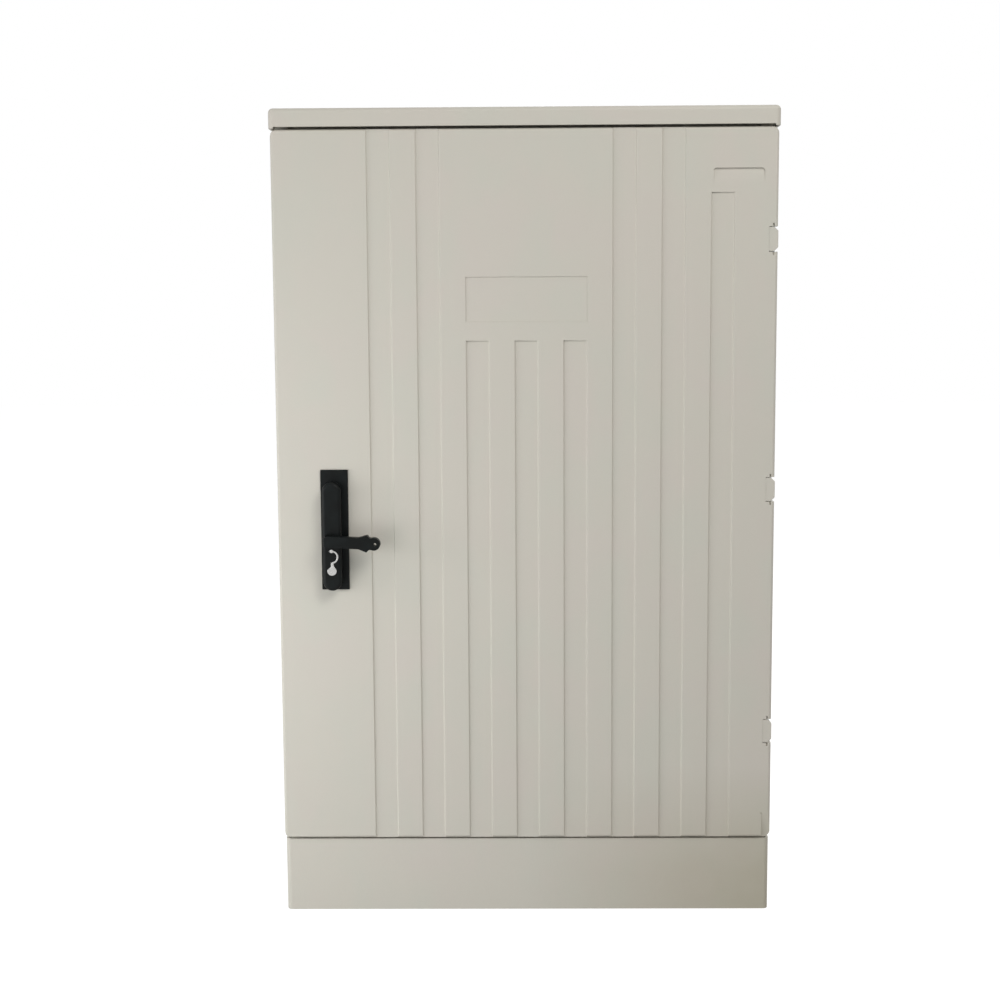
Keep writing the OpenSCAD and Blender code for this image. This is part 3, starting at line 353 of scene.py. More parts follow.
@dataclass(frozen=True)
class MouldedPolyester(Finish):
    """Pale glass-fibre polyester: a soft mottle over a fibre grain, with painted shade over the front's
    lower right.
    """

    slot: str = "moulded_polyester"
    low: Triple = (0.615, 0.59, 0.525)
    high: Triple = (0.621, 0.584, 0.527)
    green: Triple = (0.604, 0.591, 0.525)
    fibre: Triple = (0.48, 0.465, 0.42)
    # Colour of the painted shade that darkens the front's lower right.
    painted_shade: Triple = (0.43, 0.395, 0.30)
    tone: Noise = Noise(9.0, within=(0.42, 0.66), detail=2.0)
    cool: Noise = Noise(15.3, within=(0.45, 0.7), detail=2.0, stretch=(1.0, 1.0, 0.6))
    gloss: Noise = Noise(60.0, (0.5, 0.62))
    grit: Noise = Noise(900.0, (0.0, 0.09), (0.35, 0.7), 4.0, 0.6, (1.0, 1.0, 0.35))
    relief: Relief = Relief(0.06 * MM, 0.35)
    swell: Noise = Noise(24.0, detail=1.0)
    swell_relief: Relief = Relief(1.2 * MM, 0.08)
    # Where the painted shade lies: towards the right, on the front faces and near the ground, broken up by a
    # cloud.
    painted_shade_right: Span = (0.0, 0.42)
    painted_shade_front: Span = (-0.13, -0.145)
    painted_shade_down: Span = (0.24, 0.06)
    painted_shade_cloud: Noise = Noise(11.0, (0.66, 0.84), detail=4.0)
    shine: float = 0.32

    def colour(self, g: Graph) -> Socket:
        """Mottles the base, lays fibres over it and paints shade over the front's lower right.

        Args:
            g: The material's tree.

        Returns:
            The colour.
        """
        tint = g.mix(g.cloud(self.cool), super().colour(g), self.green)
        grained = g.mix(g.cloud(self.grit), tint, self.fibre)
        # Painted shade: the colour darkens towards the front's lower right, by the product of three ramps
        # and a cloud.
        spans = {"X": self.painted_shade_right, "Y": self.painted_shade_front, "Z": self.painted_shade_down}
        ramps = [g.ramp(axis, span) for axis, span in spans.items()]
        return g.mix(g.joined("MULTIPLY", [*ramps, g.cloud(self.painted_shade_cloud)]), grained, self.painted_shade)

    def normal(self, g: Graph) -> Socket:
        """Returns the fibre grain on top of a slow swell."""
        return g.bump(g.noise(self.grit), self.relief, g.bump(g.noise(self.swell), self.swell_relief))


@dataclass(frozen=True)
class ZincSteel(Finish):
    """Galvanised sheet with its crystal spangle."""

    slot: str = "zinc_steel"
    low: Triple = (0.40, 0.415, 0.43)
    high: Triple = (0.62, 0.63, 0.64)
    dull: Triple = (0.5, 0.515, 0.53)
    tone: Noise = Noise(14.0, (0.0, 0.5), (0.35, 0.7))
    spangle: Noise = Noise(110.0, within=(0.15, 0.85))
    gloss: Noise = Noise(110.0, (0.34, 0.5), (0.15, 0.85))
    grit: Noise = Noise(700.0, detail=2.0)
    relief: Relief = Relief(0.03 * MM, 0.25)
    metal: float = 0.9

    def colour(self, g: Graph) -> Socket:
        """Returns bright and dark crystals under dull clouds."""
        spangled = g.mix(g.cells(self.spangle), self.low, self.high)
        return g.mix(g.cloud(self.tone), spangled, self.dull)

    def roughness(self, g: Graph) -> Socket:
        """Returns a roughness for each crystal."""
        return g.cells(self.gloss)


@dataclass(frozen=True)
class LockSteel(Finish):
    """Turned and milled steel with a fine directional finish."""

    slot: str = "lock_steel"
    low: Triple = (0.36, 0.36, 0.37)
    high: Triple = (0.56, 0.56, 0.555)
    tone: Noise = Noise(500.0, rough=0.6, stretch=(1.0, 1.0, 0.08))
    gloss: Noise = Noise(35.0, (0.26, 0.42), (0.4, 0.7))
    grit: Noise = tone
    relief: Relief = Relief(0.02 * MM, 0.3)
    metal: float = 1.0


@dataclass(frozen=True)
class BlackLock(Finish):
    """Near-black painted casting with a satin skin."""

    slot: str = "black_lock"
    low: Triple = (0.0036, 0.0044, 0.0042)
    high: Triple = (0.0062, 0.0082, 0.0082)
    tone: Noise = Noise(45.0, within=(0.35, 0.68))
    gloss: Noise = Noise(130.0, (0.3, 0.44))
    grit: Noise = Noise(1400.0)
    relief: Relief = Relief(0.03 * MM, 0.2)
    shine: float = 0.11


@dataclass(frozen=True)
class SealRubber(Finish):
    """Dark sealing rubber with a faint dusty bloom."""

    slot: str = "seal_rubber"
    low: Triple = (0.014, 0.014, 0.015)
    high: Triple = (0.045, 0.044, 0.042)
    tone: Noise = Noise(55.0, (0.0, 0.8), (0.42, 0.75), 5.0, 0.65)
    gloss: Noise = Noise(55.0, (0.55, 0.734), (0.42, 0.75), 5.0, 0.65)
    grit: Noise = Noise(1800.0, detail=2.0)
    relief: Relief = Relief(0.04 * MM, 0.4)


@dataclass(frozen=True)
class GuideNylon(Finish):
    """Dull grey moulded nylon."""

    slot: str = "guide_nylon"
    low: Triple = (0.032, 0.033, 0.035)
    high: Triple = (0.062, 0.063, 0.065)
    tone: Noise = Noise(80.0, within=(0.35, 0.68), detail=4.0)
    gloss: Noise = Noise(80.0, (0.42, 0.56), (0.35, 0.68), 4.0)
    grit: Noise = Noise(1100.0)
    relief: Relief = Relief(0.04 * MM, 0.35)


@dataclass(frozen=True)
class Nickel(Finish):
    """Bright nickel plate with hairline polish."""

    slot: str = "nickel"
    low: Triple = (0.40, 0.396, 0.386)
    high: Triple = (0.49, 0.486, 0.474)
    tone: Noise = Noise(900.0, rough=0.6, stretch=(0.15, 1.0, 1.0))
    gloss: Noise = Noise(160.0, (0.2, 0.32))
    grit: Noise = tone
    relief: Relief = Relief(0.015 * MM, 0.25)
    metal: float = 1.0


POLYESTER = MouldedPolyester()
ZINC = ZincSteel()
STEEL = LockSteel()
BLACK = BlackLock()
RUBBER = SealRubber()
NYLON = GuideNylon()
NICKEL = Nickel()


# Mesh work


def solid_mesh(node: str) -> bmesh.types.BMesh:
    """Returns a node's mesh with its seams welded and its flat faces whole.

    Args:
        node: The node's name.

    Returns:
        A new mesh that the caller owns.
    """
    bm = bmesh.new()
    bm.from_mesh(frame["nodes"][node].data)
    bmesh.ops.remove_doubles(bm, verts=bm.verts, dist=WELD)
    bmesh.ops.dissolve_degenerate(bm, edges=bm.edges, dist=SLIVER)
    bmesh.ops.dissolve_limit(bm, angle_limit=math.radians(FLAT_DEG), verts=bm.verts, edges=bm.edges)
    return bm


def make_object(name: str, bm: bmesh.types.BMesh, crease_deg: float = 35.0) -> bpy.types.Object:
    """Turns a mesh into an object with smooth shading that breaks at its creases.

    Args:
        name: The object's name.
        bm: The mesh, which is freed.
        crease_deg: Edges sharper than this stay sharp.

    Returns:
        The new object, linked to the scene.
    """
    mesh = bpy.data.meshes.new(name)
    bm.to_mesh(mesh)
    bm.free()
    mesh.shade_smooth()
    mesh.set_sharp_from_angle(angle=math.radians(crease_deg))
    piece = bpy.data.objects.new(name, mesh)
    bpy.context.scene.collection.objects.link(piece)
    normals = piece.modifiers.new("even_faces", "WEIGHTED_NORMAL")
    normals.keep_sharp = True
    return piece


def dress(piece: bpy.types.Object, body: Body, finish: Finish, *nodes: str) -> bpy.types.Object:
    """Gives a piece its finish and its body, and hides the nodes that it stands for.

    Args:
        piece: The piece, in place.
        body: The body that it rides on.
        finish: Its finish.
        *nodes: The nodes that it replaces.

    Returns:
        The same piece.
    """
    piece.data.materials.clear()
    piece.data.materials.append(finish.material())
    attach(piece, body.value)
    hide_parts(*nodes)
    log.info("%s on %s in %s: %d faces", piece.name, body.value, finish.slot, len(piece.data.polygons))
    return piece


def folds(bm: bmesh.types.BMesh) -> dict[bmesh.types.BMFace, float]:
    """Finds the faces that have triangles facing against them.

    Args:
        bm: The mesh.

    Returns:
        The area of such triangles for each of these faces.
    """
    found = {}
    for tri in bm.calc_loop_triangles():
        a, b, c = (loop.vert.co for loop in tri)
        face = tri[0].face
        turn = (b - a).cross(c - a)
        if turn.dot(face.normal) < 0:
            found[face] = found.get(face, 0.0) + turn.length / 2
    return found


def number_flats(bm: bmesh.types.BMesh, layer: bmesh.types.BMLayerItem) -> list[Vector]:
    """Numbers the flat areas of a mesh, so that each is known again after its edges are rounded.

    Args:
        bm: The mesh.
        layer: The face layer that takes the numbers.

    Returns:
        The normal of each area.
    """
    normals = []
    for face in bm.faces:
        face[layer] = -1
        face.material_index = 0
    for seed in bm.faces:
        if seed[layer] >= 0:
            continue
        seed[layer] = len(normals)
        stack = [seed]
        while stack:
            for other in (f for e in stack.pop().edges for f in e.link_faces):
                if other[layer] < 0 and other.normal.dot(seed.normal) > FLAT_COSINE:
                    other[layer] = len(normals)
                    stack.append(other)
        normals.append(seed.normal.copy())
    return normals


def is_inside(point: Vector, rims: Iterable[tuple[Vector, Vector]]) -> bool:
    """Tells whether a point in the plane lies inside a set of closed rims.

    Args:
        point: The point.
        rims: The two ends of each line of the rims.

    Returns:
        True where a ray from the point crosses the rims an odd number of times.
    """
    hits = 0
    for a, b in rims:
        if (a.y > point.y) != (b.y > point.y):
            hits += point.x < a.x + (point.y - a.y) * (b.x - a.x) / (b.y - a.y)
    return hits % 2 == 1


def refill(bm: bmesh.types.BMesh, faces: set[bmesh.types.BMFace], normal: Vector) -> None:
    """Fills a flat area anew between its rims, unless the rims cross.

    Args:
        bm: The mesh.
        faces: The area's faces, which are removed.
        normal: The area's normal.
    """
    across = normal.orthogonal().normalized()
    up = normal.cross(across)
    rim = [e for e in {e for f in faces for e in f.edges} if sum(f in faces for f in e.link_faces) == 1]
    verts = sorted({v for e in rim for v in e.verts}, key=lambda v: v.index)
    number = {v: i for i, v in enumerate(verts)}
    points = [Vector((v.co.dot(across), v.co.dot(up))) / MM for v in verts]
    lines = sorted((number[e.verts[0]], number[e.verts[1]]) for e in rim)
    whole_hull, nearest_mm = 0, 1e-5
    _, _, triangles, sources, *_ = delaunay_2d_cdt(points, lines, [], whole_hull, nearest_mm)
    if any(len(source) != 1 for source in sources):
        return
    rims = [(points[i], points[j]) for i, j in lines]
    bmesh.ops.delete(bm, geom=list(faces), context="FACES")
    for tri in ([sources[i][0] for i in corners] for corners in triangles):
        if is_inside(sum((points[i] for i in tri), Vector((0.0, 0.0))) / 3, rims):
            face = bm.faces.new([verts[i] for i in tri])
            face.normal_update()
            if face.normal.dot(normal) < 0:
                face.normal_flip()


@dataclass(frozen=True)
class Rounding:
    """One pass of edge rounding: its width, its steps and the edges that it takes."""

    width: float
    steps: int = 2
    chosen: EdgeTest | None = None
    least_deg: float = 28.0

    def takes(self, edge: bmesh.types.BMEdge) -> bool:
        """Tells whether an edge is sharp enough and chosen."""
        sharp = len(edge.link_faces) == 2 and edge.calc_face_angle(0.0) > math.radians(self.least_deg)
        return sharp and (self.chosen is None or self.chosen(edge))

    def apply(self, bm: bmesh.types.BMesh, share: float) -> None:
        """Rounds the edges and fills the flat areas anew that the rounding folded.

        Args:
            bm: The mesh.
            share: Part of the full width that is used.
        """
        edges = [e for e in bm.edges if self.takes(e)]
        layer = bm.faces.layers.int.get("flat") or bm.faces.layers.int.new("flat")
        normals = number_flats(bm, layer)
        bmesh.ops.bevel(
            bm,
            geom=edges,
            offset=share * self.width,
            offset_type="OFFSET",
            segments=self.steps,
            profile=0.5,
            affect="EDGES",
            clamp_overlap=False,
            material=1,
        )
        bm.normal_update()
        bm.verts.index_update()
        folded = {f[layer] for f in folds(bm) if f.material_index == 0}
        areas = {number: set() for number in folded}
        for face in bm.faces:
            if face.material_index == 0 and face[layer] in areas:
                areas[face[layer]].add(face)
        for number, faces in areas.items():
            refill(bm, faces, normals[number])
        bm.normal_update()


def is_sound(bm: bmesh.types.BMesh, before: bmesh.types.BMesh) -> bool:
    """Tells whether a rounded mesh is closed, without folds and no larger than before.

    Args:
        bm: The rounded mesh.
        before: The mesh as it was.

    Returns:
        True where the rounding can stay.
    """
    closed = all(e.is_manifold for e in bm.edges)
    area, was = (sum(f.calc_area() for f in mesh.faces) for mesh in (bm, before))
    return closed and area < GROWTH_LIMIT * was and sum(folds(bm).values()) < FOLD_LIMIT


def eased_mesh(node: str, *passes: Rounding) -> bmesh.types.BMesh:
    """Rounds a node's edges, as wide as they take it without folding a face.

    Args:
        node: The node's name.
        *passes: The roundings, in order.

    Returns:
        A new mesh that the caller owns.
    """
    bm = solid_mesh(node)
    for number, rounding in enumerate(passes, 1):
        for share in WIDTH_SHARES:
            trial = bm.copy()
            rounding.apply(trial, share)
            if is_sound(trial, bm):
                log.info("%s, pass %d: edges rounded to %.0f%% of their width", node, number, 100 * share)
                bm.free()
                bm = trial
                break
            trial.free()
    return bm


def eased_piece(node: str, body: Body, finish: Finish, *passes: Rounding) -> bpy.types.Object:
    """Makes the dressed piece of a node that keeps its form, with softened edges.

    Args:
        node: The node's name.
        body: The body that it rides on.
        finish: Its finish.
        *passes: The roundings of its edges, in order.

    Returns:
        The piece.
    """
    return dress(make_object(f"{node}_dressed", eased_mesh(node, *passes)), body, finish, node)


def loft(bm: bmesh.types.BMesh, rings: Sequence[Sequence[Vector]], capped: bool = True) -> None:
    """Skins a row of rings that have the same number of points.

    Args:
        bm: The mesh to add to.
        rings: The rings, each a closed loop of points.
        capped: Whether the first and the last ring are filled.
    """
    loops = [[bm.verts.new(p) for p in ring] for ring in rings]
    for low, high in zip(loops, loops[1:]):
        for i, vert in enumerate(low):
            j = (i + 1) % len(low)
            bm.faces.new((vert, low[j], high[j], high[i]))
    if capped:
        bm.faces.new(list(reversed(loops[0])))
        bm.faces.new(loops[-1])


def islands(node: str) -> list[list[Vector]]:
    """Lists the points of each separate solid in a node.

    Args:
        node: The node's name.

    Returns:
        One list of points for each solid.
    """
    bm = solid_mesh(node)
    left = set(bm.verts)
    found = []
    while left:
        stack = [left.pop()]
        points = []
        while stack:
            vert = stack.pop()
            points.append(vert.co.copy())
            for edge in vert.link_edges:
                other = edge.other_vert(vert)
                if other in left:
                    left.remove(other)
                    stack.append(other)
        found.append(points)
    bm.free()
    return found


def corners_of(points: Sequence[Vector]) -> tuple[Vector, Vector]:
    """Returns the low and the high corner of the box round some points."""
    columns = list(zip(*points))
    return Vector([min(c) for c in columns]), Vector([max(c) for c in columns])


# Fasteners


@dataclass
class Fastener:
    """A row of like bolts or screws, each modelled in the place of its own solid.

    The sizes of its details are shares: of the shank's radius for the end, the thread and the nut's mouth,
    of the head's largest radius for what is wide on a head or nut, and of its height for what is tall.
    """

    node: str
    body: Body
    head: Head
    towards: Callable[[Vector], Vector]
    finish: Finish = ZINC
    nut: bool = False
    sides: int = 36
    crease_deg: float = 28.0
    off_axis: float = 0.2
    near_rim: float = 0.92
    end_chamfer: float = 0.25
    thread_pitch: float = 0.3
    thread_root: float = 0.9
    thread_turns: int = 6
    plain_turns: int = 4
    seat_gap: float = 0.05
    washer_wide: float = 0.84
    washer_tall: float = 0.08
    bevel_deg: float = 24.0
    bevel_wide: float = 0.83
    dish_wide: Span = (0.75, 0.7)
    dish_deep: float = 0.04
    dome_foot: float = 0.96
    dome_wall: float = 0.3
    dome_steps: int = 7
    dome_tip: float = 0.08
    socket_mouth: float = 0.5
    socket_wide: float = 0.46
    socket_lip: float = 0.02
    socket_floor: float = 0.35
    nut_end: float = 0.12
    nut_washer: float = 0.06
    nut_mouth: float = 1.18
    nut_mouth_deep: float = 0.1

    def build(self) -> bpy.types.Object:
        """Models every fastener of the row.

        Returns:
            The row as one piece.
        """
        bm = bmesh.new()
        for points in islands(self.node):
            self.add_one(bm, points)
        bmesh.ops.recalc_face_normals(bm, faces=bm.faces)
        row = make_object(f"{self.node}_dressed", bm, self.crease_deg)
        return dress(row, self.body, self.finish, self.node)

    def add_one(self, bm: bmesh.types.BMesh, points: list[Vector]) -> None:
        """Measures one solid and adds its fastener.

        Args:
            bm: The mesh to add to.
            points: The solid's points.
        """
        low, high = corners_of(points)
        middle = (low + high) / 2
        axis = self.towards(middle)
        place = Matrix.Translation(middle) @ axis.to_track_quat("Z", "Y").to_matrix().to_4x4()
        local = [place.inverted() @ p for p in points]
        reach = [(p.z, math.hypot(p.x, p.y)) for p in local]
        top = max(z for z, _ in reach)
        foot = min(z for z, _ in reach)
        half = (top + foot) / 2
        wide = max(r for _, r in reach)
        thin = min(r for z, r in reach if r > self.off_axis * wide)
        rims = [z for z, r in reach if r > self.near_rim * wide]
        seat = min(z for z in rims if z > half)
        rows = [self.shank_rings(foot, seat, thin) + self.head_rings(seat, top, wide)]
        if self.nut:
            rows.append(self.nut_rings(foot, max(z for z in rims if z < half), wide, thin))
        for rings in rows:
            loft(bm, [[place @ p for p in ring] for ring in rings])

    def ring(self, radius: float, height: float) -> list[Vector]:
        """Returns a round ring at a height."""
        angles = [2 * math.pi * i / self.sides for i in range(self.sides)]
        return [Vector((radius * math.cos(a), radius * math.sin(a), height)) for a in angles]

    def hexagon(self, corner: float, height: Callable[[float], float]) -> list[Vector]:
        """Returns a hexagonal ring.

        Args:
            corner: Radius to the corners.
            height: Gives a point's height from its radius.

        Returns:
            The ring's points.
        """
        flat = corner * math.cos(math.pi / 6)
        points = []
        for i in range(self.sides):
            angle = 2 * math.pi * i / self.sides
            radius = flat / math.cos((angle % (math.pi / 3)) - math.pi / 6)
            points.append(Vector((radius * math.cos(angle), radius * math.sin(angle), height(radius))))
        return points

    def shank_rings(self, foot: float, seat: float, radius: float) -> list[list[Vector]]:
        """Models a shank with a chamfered end and thread grooves near it.

        Args:
            foot: Height of the shank's end.
            seat: Height of the head's seat.
            radius: The shank's radius.

        Returns:
            The rings from the end to the seat.
        """
        chamfer = self.end_chamfer * radius
        rings = [self.ring(radius - chamfer, foot), self.ring(radius, foot + chamfer)]
        pitch = self.thread_pitch * radius
        room = int((seat - foot) / pitch) - self.plain_turns
        for i in range(max(0, min(self.thread_turns, room))):
            z = foot + chamfer + (i + 0.5) * pitch
            rings += [self.ring(self.thread_root * radius, z), self.ring(radius, z + pitch / 2)]
        return rings + [self.ring(radius, seat - self.seat_gap * radius)]

    def head_rings(self, seat: float, top: float, wide: float) -> list[list[Vector]]:
        """Models the head.

        Args:
            seat: Height of the head's seat.
            top: Height of its top.
            wide: Its largest radius.

        Returns:
            The rings from the seat to the drive.
        """
        tall = top - seat
        edge = seat + self.washer_tall * tall
        if self.head is Head.HEXAGON:
            bevel = self.bevel_wide * wide
            slope = math.tan(math.radians(self.bevel_deg))
            rim, floor = (share * wide for share in self.dish_wide)
            return [
                self.ring(self.washer_wide * wide, seat),
                self.ring(self.washer_wide * wide, edge),
                self.hexagon(wide, lambda r: edge),
                self.hexagon(wide, lambda r: top - (r - bevel) * slope),
                self.ring(bevel, top),
                self.ring(rim, top),
                self.ring(floor, top - self.dish_deep * tall),
            ]
        wall = seat + self.dome_wall * tall
        rings = [self.ring(self.dome_foot * wide, seat), self.ring(wide, edge)]
        for i in range(self.dome_steps):
            angle = math.radians(90 * i / self.dome_steps)
            rings.append(self.ring(wide * math.cos(angle), wall + (top - wall) * math.sin(angle)))
        if self.head is Head.DOME:
            return rings + [self.ring(self.dome_tip * wide, top)]
        mouth = wall + (top - wall) * math.sqrt(1 - self.socket_mouth**2)
        return [r for r in rings if r[0].z < mouth] + [
            self.ring(self.socket_mouth * wide, mouth),
            self.hexagon(self.socket_wide * wide, lambda r: mouth - self.socket_lip * tall),
            self.hexagon(self.socket_wide * wide, lambda r: seat + self.socket_floor * tall),
        ]

    def nut_rings(self, foot: float, edge: float, wide: float, bore: float) -> list[list[Vector]]:
        """Models a nut with both faces chamfered and a countersunk mouth round the shank.

        Args:
            foot: Height of the shank's end.
            edge: Height of the nut's seat.
            wide: Its corner radius.
            bore: The shank's radius.

        Returns:
            The rings from the mouth to the seat.
        """
        slope = math.tan(math.radians(self.bevel_deg))
        rim = self.washer_wide * wide
        end = foot + self.nut_end * (edge - foot)
        washer = edge - self.nut_washer * (edge - foot)
        return [
            self.ring(self.thread_root * bore, end + self.nut_mouth_deep * bore),
            self.ring(self.nut_mouth * bore, end),
            self.ring(rim, end),
            self.hexagon(wide, lambda r: end + (r - rim) * slope),
            self.hexagon(wide, lambda r: washer),
            self.ring(rim, washer),
            self.ring(rim, edge),
        ]


def inwards(middle: Vector) -> Vector:
    """Returns the direction across the cabinet towards its middle."""
    return Vector((-math.copysign(1.0, middle.x), 0.0, 0.0))


def along(axis: Triple) -> Callable[[Vector], Vector]:
    """Returns a function that gives the same direction for every fastener."""
    return lambda middle: Vector(axis)


UP = along((0.0, 0.0, 1.0))
DOWN = along((0.0, 0.0, -1.0))
FORWARDS = along((0.0, -1.0, 0.0))
BACKWARDS = along((0.0, 1.0, 0.0))


# Sub-assemblies


@dataclass
class Shell:
    """Roof, side panels, rear panel and the rails of the door's opening."""

    panel_edge: Rounding = Rounding(0.9 * MM)
    roof_edge: Rounding = Rounding(0.5 * MM)
    rail_edge: Rounding = Rounding(0.7 * MM)

    def build(self) -> list[bpy.types.Object]:
        """Builds the shell.

        Returns:
            Its pieces.
        """
        pieces = [eased_piece("roof", Body.CABINET, POLYESTER, self.roof_edge)]
        for node in ("left_side_panel", "right_side_panel", "rear_panel"):
            pieces.append(eased_piece(node, Body.CABINET, POLYESTER, self.panel_edge))
        for node in ("top_rail", "bottom_rail"):
            pieces.append(eased_piece(node, Body.CABINET, POLYESTER, self.rail_edge))
        rows = [
            Fastener("panel_bolts", Body.CABINET, Head.DOME, BACKWARDS),
            Fastener("rail_bolts", Body.CABINET, Head.HEXAGON, FORWARDS, nut=True),
            Fastener("roof_bolts", Body.CABINET, Head.HEXAGON, DOWN),
        ]
        return pieces + [row.build() for row in rows]


@dataclass
class Plinth:
    """The plinth's covers, side frames and bolts."""

    edge: Rounding = Rounding(0.9 * MM)

    def build(self) -> list[bpy.types.Object]:
        """Builds the plinth.

        Returns:
            Its pieces.
        """
        nodes = ("plinth_front_cover", "plinth_rear_cover", "plinth_left_frame", "plinth_right_frame")
        pieces = [eased_piece(node, Body.CABINET, POLYESTER, self.edge) for node in nodes]
        return pieces + [Fastener("plinth_bolts", Body.CABINET, Head.HEXAGON, inwards).build()]


@dataclass
class FloorDeck:
    """Floor plates, the rubber strips of the cable slot and the bolts through the plinth."""

    plate_edge: Rounding = Rounding(0.4 * MM)
    lip: float = 2.0 * MM
    throat: float = 3.0 * MM
    end_taper: float = 0.75
    steps: int = 12

    def build(self) -> list[bpy.types.Object]:
        """Builds the floor.

        Returns:
            Its pieces.
        """
        plates = ("floor_plate_front", "floor_plate_rear")
        pieces = [eased_piece(node, Body.CABINET, ZINC, self.plate_edge) for node in plates]
        pieces.append(self.edge_strips())
        return pieces + [Fastener("base_bolts", Body.CABINET, Head.HEXAGON, UP, nut=True).build()]

    def edge_strips(self) -> bpy.types.Object:
        """Models the two clip-on strips with round noses and lips.

        Returns:
            Both strips as one piece.
        """
        bm = bmesh.new()
        for points in islands("cable_edge_strips"):
            low, high = corners_of(points)
            outline = self.strip_outline(high.y - low.y, high.z - low.z)
            facing = 1.0 if low.y > 0 else -1.0
            back = low.y if facing > 0 else high.y
            middle = (low.z + high.z) / 2
            whole = [(low.x + self.lip, 1.0), (high.x - self.lip, 1.0)]
            ends = [(low.x, self.end_taper), *whole, (high.x, self.end_taper)]
            rings = [
                [Vector((x, back + facing * u, middle + v * grow)) for u, v in outline] for x, grow in ends
            ]
            loft(bm, rings)
        bmesh.ops.recalc_face_normals(bm, faces=bm.faces)
        return dress(make_object("cable_edge_strips_dressed", bm), Body.CABINET, RUBBER, "cable_edge_strips")

    def strip_outline(self, deep: float, tall: float) -> list[Span]:
        """Returns the strip's section, from its round nose to its two lips.

        Args:
            deep: Depth of the section from nose to lips.
            tall: Height of the section.

        Returns:
            Points of the closed section, nose at zero depth.
        """
        half = tall / 2
        inner = half - self.lip
        angles = [math.pi * i / self.steps for i in range(self.steps + 1)]
        nose = [(half - half * math.sin(a), half * math.cos(a)) for a in angles]
        lower_lip = [(deep - self.lip / 2, -half), (deep, -half + self.lip / 2), (deep, -inner)]
        throat = [(self.throat, -inner), (self.throat, inner)]
        upper_lip = [(deep, inner), (deep, half - self.lip / 2), (deep - self.lip / 2, half)]
        return nose + lower_lip + throat + upper_lip


@dataclass
class Inside:
    """Mounting plate, cable rail and their screws."""

    plate_edge: Rounding = Rounding(0.35 * MM)
    rail_edge: Rounding = Rounding(0.6 * MM)

    def build(self) -> list[bpy.types.Object]:
        """Builds the inner pieces.

        Returns:
            The pieces.
        """
        return [
            eased_piece("mounting_plate", Body.CABINET, ZINC, self.plate_edge),
            eased_piece("cable_rail", Body.CABINET, ZINC, self.rail_edge),
            Fastener("mounting_screws", Body.CABINET, Head.SOCKET, FORWARDS).build(),
            Fastener("cable_rail_screws", Body.CABINET, Head.SOCKET, inwards).build(),
        ]


